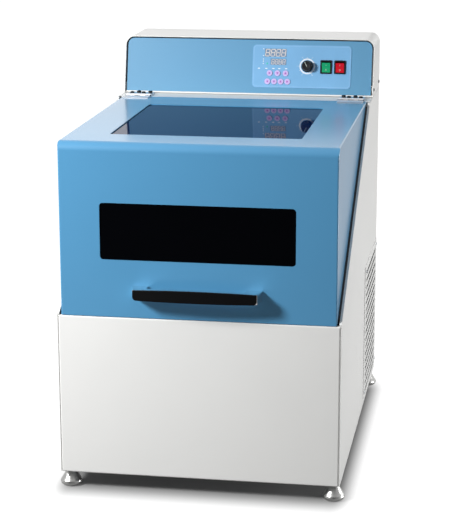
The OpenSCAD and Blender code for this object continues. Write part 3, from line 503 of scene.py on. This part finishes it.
@dataclass
class MeshWork:
    """Collects surfaces worked out with numpy, and makes one object of them.

    Attributes:
        name: Name of the object.
        face: The face that the flat and turned shapes stand on.
        points: Points in metres, one array for each shape.
        faces: Faces of all the shapes, which index the points.
        count: Number of points so far.
    """

    name: str
    face: Face = PANEL
    points: list[np.ndarray] = field(default_factory=list)
    faces: list[list[int]] = field(default_factory=list)
    count: int = 0

    def add(self, points: np.ndarray, faces: Iterable[Sequence[int]]) -> None:
        """Add points in metres, and faces that index them.

        Args:
            points: The points, in any grid.
            faces: Faces that count the points from nought.
        """
        flat = points.reshape(-1, 3)
        self.faces.extend([int(i) + self.count for i in face] for face in faces)
        self.points.append(flat)
        self.count += len(flat)

    def sheet(self, grid: np.ndarray, caps: bool = False) -> None:
        """Add rings of points as a surface of quadrilaterals.

        Each quadrilateral joins a point to its right, upper right and upper neighbours. The last
        column joins the first.

        Args:
            grid: Points in metres, rows by columns by three.
            caps: True to close the first and the last ring with a flat face.
        """
        rows, columns = grid.shape[:2]
        index = np.arange(rows * columns).reshape(rows, columns)
        right = np.roll(index, -1, 1)
        quads = np.stack([index[:-1], right[:-1], right[1:], index[1:]], -1)
        ends = [index[0, ::-1].tolist(), index[-1].tolist()] if caps else []
        self.add(grid, [*quads.reshape(-1, 4).tolist(), *ends])

    def plate(self, outline: Outline, low: float, high: float) -> None:
        """Add a flat plate on the face: an outline drawn from one height to another."""
        rings = [np.column_stack([outline, np.full(len(outline), w)]) for w in (low, high)]
        self.sheet(self.face.points(np.stack(rings)), caps=True)

    def washer(self, inner: Outline, outer: Outline, low: float, high: float) -> None:
        """Add a flat ring on the face between two outlines with as many points each.

        Args:
            inner: The inner outline.
            outer: The outer outline.
            low: Height of the lower face.
            high: Height of the upper face.
        """
        rings = [(outer, low), (outer, high), (inner, high), (inner, low), (outer, low)]
        grid = np.stack([np.column_stack([line, np.full(len(line), w)]) for line, w in rings])
        self.sheet(self.face.points(grid))

    def lathe(
        self, profile: np.ndarray, centre: Pair, steps: int, flutes: tuple[int, float] = (1, 0.0)
    ) -> None:
        """Add a turned piece on the face, closed by a flat cap at each end.

        A point is the centre plus the profile's radius, less a flute that is a cosine of the angle,
        times the cosine and sine of the angle. Its height is the profile's height.

        Args:
            profile: Rows of radius, height and share of the flutes' depth, from base to tip.
            centre: Axis of the piece on the face.
            steps: Steps round the axis.
            flutes: Number of flutes and their depth.
        """
        angle = np.arange(steps) * 2 * math.pi / steps
        cut = flutes[1] * (0.5 - 0.5 * np.cos(angle * flutes[0])) ** 2
        radius = profile[:, :1] - profile[:, 2:3] * cut[None, :]
        across = centre[0] + radius * np.cos(angle)
        along = centre[1] + radius * np.sin(angle)
        height = np.repeat(profile[:, 1:2], steps, 1)
        self.sheet(self.face.points(np.stack([across, along, height], -1)), caps=True)

    def mesh(self) -> bpy.types.Mesh:
        """Return the collected surfaces as one mesh.

        Returns:
            The mesh, named like the object.
        """
        mesh = bpy.data.meshes.new(self.name)
        mesh.from_pydata(np.concatenate(self.points).tolist(), [], self.faces)
        mesh.update()
        return mesh

    def build(self, body: str, finish: Finish, smooth: bool = False) -> bpy.types.Object:
        """Make the object, dress it and let it ride on a body.

        Args:
            body: The CAD body that carries the piece.
            finish: The piece's finish.
            smooth: True for a rounded piece.

        Returns:
            The finished object.
        """
        mesh = self.mesh()
        piece = show(self.name, mesh)
        mesh.shade_smooth() if smooth else mesh.shade_flat()
        finish.dress(piece)
        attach(piece, body)
        LOG.info("%s: %d faces on %s", self.name, len(mesh.polygons), body)
        return piece


@dataclass(frozen=True)
class Camera:
    """The studio's camera, placed by three angles.

    Attributes:
        eye: Its place in metres.
        azimuth: Degrees that it stands round to the right.
        elevation: Degrees that it looks down.
        roll: Degrees that it leans.
        lens: Focal length in millimetres.
        sensor: Long side of the sensor in millimetres.
        clip: Nearest and farthest distance that it sees, in metres.
    """

    eye: Triple = (0.594, -3.60605, 1.3018)
    azimuth: float = 9.496
    elevation: float = 14.174
    roll: float = -0.137
    lens: float = 119.73
    sensor: float = 36.0
    clip: Pair = (0.05, 200.0)

    def build(self) -> None:
        """Place the camera: it leans, then rises to its elevation, then goes round."""
        data = bpy.data.cameras.new("studio_camera")
        data.lens, data.sensor_width = self.lens, self.sensor
        data.clip_start, data.clip_end = self.clip
        camera = show("studio_camera", data)
        place = Matrix.Translation(self.eye)
        turns = (self.azimuth, "Z"), (90.0 - self.elevation, "X"), (self.roll, "Z")
        for degrees, axis in turns:
            place = place @ Matrix.Rotation(math.radians(degrees), 4, axis)
        camera.matrix_world = place
        bpy.context.scene.camera = camera


@dataclass(frozen=True)
class Lamp:
    """A square soft lamp that points at a target.

    Attributes:
        name: The lamp's name.
        place: Its place in metres.
        target: What it points at.
        size: Side of the lamp in metres.
        watts: Its power.
    """

    name: str
    place: Triple
    target: Triple
    size: float
    watts: float

    def build(self) -> None:
        """Hang the lamp and turn it to its target."""
        data = bpy.data.lights.new(self.name, "AREA")
        data.size, data.energy = self.size, self.watts
        lamp = show(self.name, data)
        lamp.location = self.place
        aim = Vector(self.target) - Vector(self.place)
        lamp.rotation_euler = aim.to_track_quat("-Z", "Y").to_euler()


@dataclass(frozen=True)
class Sky:
    """A soft sky that is white where the camera looks, and dark on the camera's own side.

    Attributes:
        levels: Its light from the left and right, the front and back, and below and above.
        share: Share of its light that falls on surfaces without gloss.
    """

    levels: tuple[Pair, Pair, Pair] = ((0.7, 0.5), (0.03, 1.5), (0.3, 1.0))
    share: float = 0.44

    def build(self) -> None:
        """Make the sky.

        Its light from a direction is the sum of three levels, one for each axis, each weighted by
        the square of that part of the direction. Gloss and glass see it in full, and other surfaces
        are lit by a share of it.
        """
        world = bpy.data.worlds.new("studio_sky")
        bpy.context.scene.world = world
        graph = Graph(world)
        where = graph.node("TexCoord", {}, "Generated")
        total = 0.0
        for axis, (low, high) in zip(("X", "Y", "Z"), self.levels):
            along = graph.part(where, axis)
            total = total + along * along * (low + (high - low) * along.over(0.0))
        camera = graph.rays("Camera")
        share = self.share + (1.0 - self.share) * graph.rays("Glossy", "Transmission")
        sockets = {"Color": EVEN, "Strength": total * share * (1.0 - camera) + camera}
        light = graph.node("Background", sockets)
        graph.node("OutputWorld", {"Surface": light})


@dataclass(frozen=True)
class Floor:
    """A round pale floor, white by its own light except in a painted shadow round the machine.

    Attributes:
        grid: Points in a ring, and rings beyond the middle.
        reach: Radius of the innermost of them and of the floor, in metres.
        paint: How pale the floor is where light falls on it.
        dark: The white that is left in the middle of the painted shadow.
        foot: Half the width and depth of the dark middle of the painted shadow, in metres.
        fade: How far the painted shadow fades out sideways and ahead, in metres.
        gloss: Share of the floor's white that gloss and glass see.
        ahead: Where that share rises from nothing to full, along Y in metres.
    """

    grid: tuple[int, int] = (96, 24)
    reach: Pair = (0.3, 60.0)
    paint: float = 0.2
    dark: float = 0.02
    foot: Pair = (0.262, 0.335)
    fade: Pair = (0.055, 0.13)
    gloss: float = 0.5
    ahead: Pair = (-2.2, -0.6)

    def material(self) -> bpy.types.Material:
        """Build the floor's material.

        The white, which is the floor's own light, grows with the distance from the middle of a
        painted shadow round the machine's foot: that distance is that sideways and that ahead, each
        as a share of the fade, squared, added and brought back by a square root. Within it the dim
        floor shows the real shadow too. Gloss doesn't see the white on the camera's own side.

        Returns:
            The material.
        """
        graph = Graph(bpy.data.materials.new("studio_floor"))
        sides = [graph.part(graph.place(), axis) for axis in ("X", "Y")]
        past = [
            ((side.distance() - half) / fade).at_least(0.0)
            for side, half, fade in zip(sides, self.foot, self.fade)
        ]
        away = (past[0] * past[0] + past[1] * past[1]).to_power(0.5)
        ahead = graph.smooth_step(sides[1], *self.ahead)
        seen = graph.rays("Camera") + self.gloss * ahead * graph.rays("Glossy", "Transmission")
        # Painted shadow: the floor's white light dims round the machine's foot, over the real
        # shadow on the dim floor
        own = (self.dark + (1.0 - self.dark) * graph.smooth_step(away, 0.0, 1.0)) * seen
        diffuse = graph.node("BsdfDiffuse", {"Color": shade(EVEN, self.paint)})
        glow = graph.node("Emission", {"Color": EVEN, "Strength": own})
        both = graph.node("AddShader", {0: diffuse, 1: glow})
        graph.node("OutputMaterial", {"Surface": both})
        return graph.owner

    def build(self) -> None:
        """Lay the floor, whose points are rings with a radius that grows by an even factor."""
        steps, rings = self.grid
        angle = np.arange(steps) * 2 * math.pi / steps
        radius = np.concatenate([[MM], np.geomspace(*self.reach, rings)])[:, None]
        level = np.zeros_like(radius * angle)
        work = MeshWork("studio_floor")
        work.sheet(np.stack([radius * np.cos(angle), radius * np.sin(angle), level], -1))
        mesh = work.mesh()
        floor = show("studio_floor", mesh)
        mesh.materials.append(self.material())


@dataclass(frozen=True)
class Studio:
    """Everything round the machine: the camera, the sky, the lamps and the floor."""

    camera: Camera = Camera()
    sky: Sky = Sky()
    lamps: tuple[Lamp, ...] = (
        Lamp("key_lamp", (-1.45, -1.5, 1.52), (0.0, -0.3, 0.2), 0.4, 69.0),
        Lamp("right_fill", (2.1, 0.3, 0.15), (0.28, 0.0, 0.2), 0.9, 35.0),
    )
    floor: Floor = Floor()

    def build(self) -> None:
        """Set up the studio."""
        for thing in (self.camera, self.sky, *self.lamps, self.floor):
            thing.build()
        LOG.info("studio: camera, sky, floor and %d lamps", len(self.lamps))


@dataclass(frozen=True)
class Carried:
    """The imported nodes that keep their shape, and the finish of each."""

    finishes: dict[Finish, tuple[str, ...]] = field(default_factory=lambda: {
        Finish.WHITE_POWDER: (
            "front_panel", "rear_panel", "left_side_panel", "right_side_panel", "top_deck",
            "head_shell",
        ),
        Finish.BLUE_GLOSS: ("lid_shell",),
        Finish.PANEL_BLUE: ("control_panel",),
        Finish.FILM_BLUE: ("overlay_sheet",),
        Finish.ZINC: ("base_pan", "support_columns", "drive_plate"),
        Finish.STAINLESS: (
            "chamber_tub", "lid_liner", "fan_cover", "temperature_probe", "crank_bearings",
            "hinge_pins",
        ),
        Finish.TURNED_STEEL: (
            "main_crank", "left_idler_crank", "right_idler_crank", "motor_pulley", "driven_pulley",
        ),
        Finish.CHROME: ("handle_bar",),
        Finish.FOOT_METAL: ("levelling_feet",),
        Finish.HINGE_METAL: ("lid_hinge_leaves", "deck_hinge_leaves"),
        Finish.CAST: ("crank_housings", "tray_carrier", "shaker_tray"),
        Finish.FINS: ("evaporator", "condenser", "fan_wheel"),
        Finish.HEATER_METAL: ("heater",),
        Finish.MOTOR_ENAMEL: ("drive_motor", "fan_motor", "compressor"),
        Finish.FOAM: ("chamber_insulation",),
        Finish.RUBBER: ("rim_gasket", "drive_belt"),
        Finish.BLACK_GLOSS: ("handle_strip",),
        Finish.BLACK_SATIN: ("rocker_frames", "power_inlet"),
        Finish.BOARD: ("control_board", "potentiometer"),
        Finish.DISPLAY_FACE: ("display_module",),
        Finish.LILAC_KEY: tuple(f"key_{number}" for number in range(1, 8)),
        Finish.GREEN: ("green_rocker",),
        Finish.RED: ("red_rocker",),
        Finish.FRONT_GLASS: ("front_window",),
        Finish.TOP_GLASS: ("top_window",),
    })

    def dress(self, nodes: dict[str, bpy.types.Object]) -> None:
        """Put each node's finish on it.

        Args:
            nodes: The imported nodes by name.
        """
        for finish, names in self.finishes.items():
            for name in names:
                finish.dress(nodes[name])
            LOG.info("%s on %d nodes", finish.name.lower(), len(names))


@dataclass(frozen=True)
class Displays:
    """Two rows of seven-segment digits, the marks round them, and the overlay's frame line.

    Attributes:
        rows: Foot of the first digit, pitch, width and height of each row's digits.
        places: Digits in a row.
        slant: Degrees that the digits lean to the right.
        stroke: Thickness of a segment, as a share of the digit's width.
        short: What a segment lacks of the side that it lies on.
        digit_faces: Lower and upper face of the digits.
        lamps: The unlit lamps' place across the panel, and their places up it.
        lamp_size: Radius and thickness of an unlit lamp.
        labels: The small labels' places across the panel, and their place up it.
        label_size: Width, height, corner radius and thickness of a label.
        frame: Middle, width and height of the line that frames the overlay.
        frame_line: Corner radius, width and thickness of that line.
        ready_at: Place of the ready lamp.
        ready_dome: Radius and height of the ready lamp, from its foot to its tip.
    """

    rows: tuple[tuple[Pair, float, float, float], ...] = (
        ((37.6, 87.3), 11.9, 8.4, 15.0), ((51.6, 69.4), 8.1, 5.6, 10.6),
    )
    places: int = 4
    slant: float = 8.0
    stroke: float = 0.145
    short: float = 0.5
    digit_faces: Pair = (0.6, 0.72)
    lamps: tuple[float, tuple[float, ...]] = (33.6, (103.0, 88.0, 80.4, 75.8, 70.4))
    lamp_size: Pair = (1.15, 0.35)
    labels: tuple[tuple[float, ...], float] = ((24.3, 40.7, 56.7, 69.7, 85.3), 59.8)
    label_size: tuple[float, float, float, float] = (5.2, 2.0, 0.95, 0.15)
    frame: tuple[Pair, float, float] = ((119.5, 65.0), 214.5, 89.5)
    frame_line: Triple = (6.5, 0.5, 0.06)
    ready_at: Pair = (42.4, 70.6)
    ready_dome: tuple[Pair, ...] = ((1.7, 0.8), (1.7, 1.2), (1.3, 1.6), (0.6, 1.85), (0.2, 1.9))

    def segment(self, length: float, thick: float) -> Outline:
        """Outline of one segment: a bar whose ends are pointed at 45 degrees.

        Args:
            length: From point to point.
            thick: Its thickness.

        Returns:
            The outline about its middle.
        """
        half, t = length / 2, thick / 2
        end = half - t
        return np.array([[-half, 0], [-end, -t], [end, -t], [half, 0], [end, t], [-end, t]])

    def digit(self, corner: Pair, width: float, height: float) -> list[Outline]:
        """Return the seven segments of a digit, sheared to the right by the slant.

        A point moves right by its height above the digit's foot times the slant's tangent.

        Args:
            corner: Foot of the digit on the panel.
            width: Width of the digit.
            height: Height of the digit.

        Returns:
            The seven outlines.
        """
        half = height / 2
        level = [(0.5 * width, up, 0.0) for up in (0.0, half, height)]
        upright = [(across, up * half, 90.0) for across in (0.0, width) for up in (0.5, 1.5)]
        lean = math.tan(math.radians(self.slant))
        made = []
        for across, up, angle in level + upright:
            bar = self.segment((half if angle else width) - self.short, self.stroke * width)
            line = turned(bar, angle, (across, up))
            line[:, 0] += line[:, 1] * lean
            made.append(line + np.array(corner))
        return made

    def digits(self) -> MeshWork:
        """Return the digits of both rows.

        Returns:
            The mesh of the digits.
        """
        work = MeshWork("display_digits")
        for (u, v), pitch, width, height in self.rows:
            for place in range(self.places):
                for line in self.digit((u + place * pitch, v), width, height):
                    work.plate(line, *self.digit_faces)
        return work

    def marks(self) -> MeshWork:
        """Return the unlit lamps and the small labels.

        Returns:
            The mesh of both.
        """
        work = MeshWork("display_marks")
        radius, thick = self.lamp_size
        for v in self.lamps[1]:
            work.plate(disc_outline(radius, (self.lamps[0], v), steps=20), FILM, FILM + thick)
        *size, thick = self.label_size
        for u in self.labels[0]:
            work.plate(rounded_outline(*size, (u, self.labels[1])), FILM, FILM + thick)
        return work

    def frame_outline(self) -> MeshWork:
        """Return the line that frames the overlay.

        Returns:
            The mesh of the line.
        """
        work = MeshWork("overlay_frame_line")
        middle, width, height = self.frame
        radius, line, thick = self.frame_line
        inner, outer = (
            rounded_outline(width + more, height + more, radius + more / 2, middle)
            for more in (-line, line)
        )
        work.washer(inner, outer, FILM, FILM + thick)
        return work

    def build(self) -> None:
        """Make the digits, the small marks, the frame line and the ready lamp."""
        self.digits().build("cabinet", Finish.DIGIT)
        self.marks().build("cabinet", Finish.WHITE_PRINT)
        self.frame_outline().build("cabinet", Finish.PALE_LINE)
        lamp = MeshWork("ready_lamp")
        dome = np.array([(*point, 0.0) for point in self.ready_dome])
        lamp.lathe(dome, self.ready_at, steps=24)
        lamp.build("cabinet", Finish.GREEN_LAMP, smooth=True)


class Arrow(Enum):
    """Direction of a key's mark, in degrees from pointing right."""

    RIGHT = 0.0
    UP = 90.0
    LEFT = 180.0
    DOWN = 270.0


@dataclass(frozen=True)
class Keypad:
    """The pale ring and the small arrow on each of the seven keys.

    Attributes:
        keys: Place of each key and direction of its arrow.
        top: Height of a key's upper face.
        ring: Inner and outer radius of the ring.
        head: Corners of an arrow that points right.
        inks: Thickness of the ring and of the arrow.
    """

    keys: tuple[tuple[Pair, Arrow], ...] = (
        ((48.3, 49.5), Arrow.RIGHT), ((66.0, 49.5), Arrow.DOWN), ((84.0, 49.5), Arrow.UP),
        ((44.0, 31.0), Arrow.LEFT), ((58.9, 31.0), Arrow.DOWN), ((73.8, 31.0), Arrow.UP),
        ((88.7, 31.0), Arrow.RIGHT),
    )
    top: float = 2.2
    ring: Pair = (4.8, 5.7)
    head: tuple[Pair, ...] = ((-1.7, -2.3), (2.4, 0.0), (-1.7, 2.3))
    inks: Pair = (0.1, 0.12)

    def build(self) -> None:
        """Make the ring and the arrow of each key; both move with the key."""
        for number, (place, arrow) in enumerate(self.keys, 1):
            ring = MeshWork(f"key_{number}_ring")
            edges = [disc_outline(radius, place, steps=36) for radius in self.ring]
            ring.washer(*edges, self.top, self.top + self.inks[0])
            ring.build(f"key_{number}", Finish.KEY_RING)
            mark = MeshWork(f"key_{number}_mark")
            head = turned(np.array(self.head), arrow.value, place)
            mark.plate(head, self.top, self.top + self.inks[1])
            mark.build(f"key_{number}", Finish.KEY_MARK)


@dataclass(frozen=True)
class SpeedDial:
    """The fluted knob with its pointer, and the printed scale round it.

    Attributes:
        centre: Axis of the knob on the panel.
        flutes: Number of flutes in the grip, and their depth.
        profile: Radius, height and share of the flutes' depth, from underneath to the top.
        line: Width, height, corner radius and middle of the pointer, before it is turned.
        line_turn: Degrees that the pointer is turned to the left.
        line_faces: Lower and upper face of the pointer.
        ring: Inner and outer radius of the printed ring.
        sweep: Degrees from the middle of the scale to either end.
        tick: Width, height, corner radius and middle of the tick that points up.
        ink: Thickness of the print.
        numbers: The printed numbers; each whole number up to the last has a tick.
        text: Height of the numbers' type, and half its thickness.
        text_at: Radius of the circle of the numbers, and their middle's height above the film.
    """

    centre: Pair = (132.1, 66.0)
    flutes: tuple[int, float] = (20, 0.7)
    profile: tuple[Triple, ...] = (
        (0.5, 5.4, 0.0), (9.9, 5.4, 0.0), (10.0, 1.4, 0.0), (12.7, 1.4, 0.0), (13.0, 1.7, 0.0),
        (13.0, 3.2, 0.0), (12.5, 3.7, 0.0), (11.9, 4.0, 0.2), (11.8, 5.0, 1.0), (11.4, 10.0, 1.0),
        (10.9, 16.4, 1.0), (10.4, 17.6, 0.6), (9.6, 18.2, 0.0), (8.6, 18.4, 0.0), (7.6, 18.2, 0.0),
        (3.5, 18.0, 0.0), (0.5, 18.0, 0.0),
    )
    line: Bar = (1.1, 12.0, 0.5, (0.0, 3.4))
    line_turn: float = 28.0
    line_faces: Pair = (18.0, 18.38)
    ring: Pair = (14.4, 17.4)
    sweep: float = 150.0
    tick: Bar = (0.6, 2.2, 0.2, (0.0, 19.1))
    ink: float = 0.08
    numbers: tuple[int, ...] = (0, 2, 4, 6, 8, 10)
    text: Pair = (3.4, 0.04)
    text_at: Pair = (22.6, 0.05)

    def knob(self) -> None:
        """Turn the knob: a skirt, a fluted grip that narrows upwards, and a dished top."""
        work = MeshWork("fluted_knob")
        work.lathe(np.array(self.profile), self.centre, steps=240, flutes=self.flutes)
        knob = work.build("knob", Finish.BLACK_SATIN, smooth=True)
        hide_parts("speed_knob")
        pointer = MeshWork("knob_pointer")
        line = turned(rounded_outline(*self.line), self.line_turn, self.centre)
        pointer.plate(line, *self.line_faces)
        pointer.build("knob", Finish.ROCKER_PRINT)

    def scale(self) -> None:
        """Print the ring, its ticks and the numbers."""
        work = MeshWork("dial_scale")
        top = FILM + self.ink
        edges = [disc_outline(radius, self.centre, steps=72) for radius in self.ring]
        work.washer(*edges, FILM, top)
        tick = rounded_outline(*self.tick, steps=2)
        angles = np.linspace(-self.sweep, self.sweep, self.numbers[-1] + 1).tolist()
        for angle in angles:
            work.plate(turned(tick, -angle, self.centre), FILM, top)
        work.build("cabinet", Finish.WHITE_PRINT)
        for value in self.numbers:
            self.number(value, math.radians(angles[value]))

    def number(self, value: int, angle: float) -> None:
        """Set one number of the scale, upright, on a circle outside the ticks.

        Args:
            value: The number.
            angle: Its place on the circle, clockwise from straight up.
        """
        curve = bpy.data.curves.new(f"dial_{value}", "FONT")
        curve.body = str(value)
        curve.size, curve.extrude = self.text
        curve.align_x, curve.align_y = "CENTER", "CENTER"
        text = show(f"dial_text_{value}", curve)
        bpy.context.view_layer.update()
        shaped = text.evaluated_get(bpy.context.evaluated_depsgraph_get())
        mesh = bpy.data.meshes.new_from_object(shaped)
        bpy.data.objects.remove(text)
        local = np.empty(len(mesh.vertices) * 3)
        mesh.vertices.foreach_get("co", local)
        radius, lift = self.text_at
        across = self.centre[0] + radius * math.sin(angle)
        along = self.centre[1] + radius * math.cos(angle)
        local = local.reshape(-1, 3) + np.array([across, along, FILM + lift])
        mesh.vertices.foreach_set("co", PANEL.points(local).ravel())
        mesh.update()
        piece = show(f"dial_number_{value}", mesh)
        Finish.WHITE_PRINT.dress(piece)
        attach(piece, "cabinet")

    def build(self) -> None:
        """Make the knob and its scale."""
        self.knob()
        self.scale()


@dataclass(frozen=True)
class RockerMarks:
    """The bar on each rocker's upper half and the ring on its lower half, tilted with the rocker.

    Attributes:
        rockers: Name of each rocker and its place along the panel.
        up: The rockers' place up the panel.
        pivot: Height of their pivots.
        tilt: Degrees that a rocker tilts at rest.
        section: Height of a rocker's ridge and edges above its pivot, and from ridge to edge.
        bar: Width, height and corner radius of the bar.
        ring: Inner and outer radius of the ring.
        ink: Thickness of both marks.
    """

    rockers: tuple[tuple[str, float], ...] = (("green_rocker", 174.0), ("red_rocker", 204.8))
    up: float = 65.3
    pivot: float = -5.0
    tilt: float = 10.0
    section: Triple = (7.0, 8.6, 10.5)
    bar: Triple = (0.7, 3.4, 0.3)
    ring: Pair = (1.2, 1.7)
    ink: float = 0.08

    def half(self, across: float, side: int) -> Face:
        """Return the face of one half of a rocker, from the ridge's middle outwards.

        The half leans by the rocker's tilt and by the angle of its own slope.

        Args:
            across: The rocker's place along the panel.
            side: 1 for the upper half, -1 for the lower one.

        Returns:
            The face, with v up the panel.
        """
        ridge, edge, reach = self.section
        turn = math.radians(self.tilt)
        slope = side * math.atan2(edge - ridge, reach) + turn
        out, rise = side * reach / 2, (ridge + edge) / 2
        v = out * math.cos(turn) - rise * math.sin(turn)
        w = out * math.sin(turn) + rise * math.cos(turn) + self.pivot
        c, s = math.cos(slope), math.sin(slope)
        axes = np.array([[1.0, 0.0, 0.0], [0.0, c, s], [0.0, -s, c]])
        axes = axes @ np.array([PANEL.u, PANEL.v, PANEL.w])
        origin = PANEL.points(np.array([across, self.up + v, w])) / MM
        return Face(tuple(origin), *(tuple(axis) for axis in axes))

    def build(self) -> None:
        """Make the two marks of each rocker."""
        for name, across in self.rockers:
            bar = MeshWork(f"{name}_bar", self.half(across, 1))
            bar.plate(rounded_outline(*self.bar), 0.0, self.ink)
            bar.build(name, Finish.ROCKER_PRINT)
            ring = MeshWork(f"{name}_ring", self.half(across, -1))
            ring.washer(*(disc_outline(radius, steps=24) for radius in self.ring), 0.0, self.ink)
            ring.build(name, Finish.ROCKER_PRINT)


def outward(side: float, origin: Triple = (0.0, 0.0, 0.0)) -> Face:
    """Return an upright face that looks out of the right side (1) or the left one (-1)."""
    x, y, z = origin
    return Face((x, FRONT + y, z), (0.0, side, 0.0), (0.0, 0.0, 1.0), (side, 0.0, 0.0))


@dataclass(frozen=True)
class VentCovers:
    """The slotted sheet over the vent low on each side, with the right half's sizes.

    Attributes:
        depth: The cover's front and rear edges, counted from the cabinet's front.
        height: Its lower and upper edges.
        faces: Its inner and outer faces, from the middle of the machine.
        border: The sheet left plain before and behind the slots.
        first: Lower edge of the lowest slot.
        pitch: Distance from one slot to the next.
        gap: Height of a slot.
        count: Slots in a column.
        corner: Radius of a bar's corners.
    """

    depth: Pair = (508.0, 796.0)
    height: Pair = (50.0, 352.0)
    faces: Pair = (280.0, 281.2)
    border: float = 28.0
    first: float = 55.5
    pitch: float = 17.0
    gap: float = 7.2
    count: int = 17
    corner: float = 0.02

    def bars(self) -> list[tuple[float, float, float, float]]:
        """Return the uprights and level bars, each as its front, rear, low and high edges.

        Returns:
            The two uprights, and then the bars from below upwards.
        """
        front, rear = self.depth
        low, high = self.height
        feet = [self.first + i * self.pitch for i in range(self.count)]
        lower = [low, *(foot + self.gap for foot in feet)]
        upper = [*feet, high]
        inner = front + self.border, rear - self.border
        uprights = [(front, inner[0], low, high), (inner[1], rear, low, high)]
        return uprights + [(*inner, below, above) for below, above in zip(lower, upper)]

    def build(self) -> None:
        """Make both covers in one piece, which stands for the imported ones."""
        work = MeshWork("slotted_vent_covers")
        for side in (1.0, -1.0):
            work.face = outward(side)
            for front, rear, low, high in self.bars():
                middle = (side * (front + rear) / 2, (low + high) / 2)
                bar = rounded_outline(rear - front, high - low, self.corner, middle, steps=1)
                work.plate(bar, *self.faces)
        covers = work.build("cabinet", Finish.WHITE_POWDER)
        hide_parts("vent_covers")


@dataclass(frozen=True)
class ScrewSet:
    """Pan-head screws of one kind, on both sides of the machine.

    Attributes:
        name: Start of the names of its pieces.
        places: Places on the right half, from the middle, the cabinet's front and the ground.
        upright: True where the screws face up, and False where they face out.
        size: Radius and height of a head.
        finish: Finish of the heads.
    """

    name: str
    places: tuple[Triple, ...]
    upright: bool
    size: Pair
    finish: Finish

    def faces(self) -> list[Face]:
        """Return where the screws stand, each place on the right and then on the left.

        Returns:
            A face for each screw.
        """
        made = []
        for x, y, z in self.places:
            for side in (1.0, -1.0):
                up = Face((side * x, FRONT + y, z))
                made.append(up if self.upright else outward(side, (side * x, y, z)))
        return made


@dataclass(frozen=True)
class Screws:
    """The screws of the hinges, the vent covers and the control head, each with a cross recess.

    Attributes:
        sets: The screws.
        flat: Share of a head's radius that is flat on top, and of its height below the dome.
        shank: Radius and length of the shank.
        pole: Radius at which a turned piece is capped.
        arms: Length and half the width of the cross's arms, as shares of the head's radius.
        recess: The cross's lower and upper face, counted from the top of the head.
    """

    sets: tuple[ScrewSet, ...] = (
        ScrewSet("hinge", (
            (217.1, 616.0, 709.5), (230.0, 604.0, 709.5), (243.0, 616.0, 709.5),
            (255.9, 604.0, 709.5),
        ), True, (4.7, 4.5), Finish.BLACK_SATIN),
        ScrewSet("vent", tuple(
            (281.2, y, z) for y in (521.0, 784.0) for z in (62.0, 340.0)
        ), False, (3.4, 2.2), Finish.ZINC),
        ScrewSet("head", (
            (280.0, 648.0, 722.0), (280.0, 782.0, 722.0),
        ), False, (3.4, 2.2), Finish.DARK_STEEL),
    )
    flat: float = 0.55
    shank: Pair = (1.5, 3.0)
    pole: float = 0.3
    arms: Pair = (0.48, 0.13)
    recess: Pair = (-0.5, 0.05)

    def head(self, radius: float, height: float) -> np.ndarray:
        """Return the profile of a screw: a short shank and a domed head.

        The dome's radius falls by the cosine of an angle, while its height grows by the sine.

        Args:
            radius: Radius of the head.
            height: Height of the head.

        Returns:
            Rows of radius, height and nought, as the screw has no flutes.
        """
        angle = np.linspace(0.0, math.pi / 2, num=6)[:, None]
        dome = 1.0 - self.flat
        across = radius * (self.flat + dome * np.cos(angle))
        along = height * (self.flat + dome * np.sin(angle))
        shank, length = self.shank
        foot = [[self.pole, -length, 0], [shank, -length, 0], [shank, 0, 0], [radius, 0, 0]]
        return np.vstack([foot, np.hstack([across, along, 0 * angle]), [[self.pole, height, 0]]])

    def cross(self, radius: float) -> Outline:
        """Outline of the cross that stands for the recess: one half of it, and its opposite.

        Args:
            radius: Radius of the screw's head.

        Returns:
            The outline about its middle.
        """
        arm, half = (share * radius for share in self.arms)
        turn = [[half, half], [half, arm], [-half, arm], [-half, half], [-arm, half], [-arm, -half]]
        return np.vstack([turn, -np.array(turn)])

    def build(self) -> None:
        """Make the black hinge screws, the plated cover screws and the dark head screws."""
        for kind in self.sets:
            heads = MeshWork(f"{kind.name}_screws")
            recesses = MeshWork(f"{kind.name}_screw_recesses")
            radius, height = kind.size
            for face in kind.faces():
                heads.face = recesses.face = face
                heads.lathe(self.head(radius, height), centre=(0.0, 0.0), steps=20)
                recesses.plate(self.cross(radius), *(height + level for level in self.recess))
            screws = heads.build("cabinet", kind.finish, smooth=True)
            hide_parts("fixing_screws")
            recesses.build("cabinet", Finish.BLACK_SATIN)


def main() -> None:
    """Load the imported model, dress it, add its fine pieces and set up the studio."""
    logging.basicConfig(level=logging.INFO, format="%(name)s: %(message)s")
    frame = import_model()
    bpy.context.scene.view_settings.view_transform = "Standard"
    Studio().build()
    Carried().dress(frame["nodes"])
    for part in (Displays(), Keypad(), SpeedDial(), RockerMarks(), VentCovers(), Screws()):
        part.build()
        LOG.info("%s done", type(part).__name__)


if __name__ == "__main__":
    main()
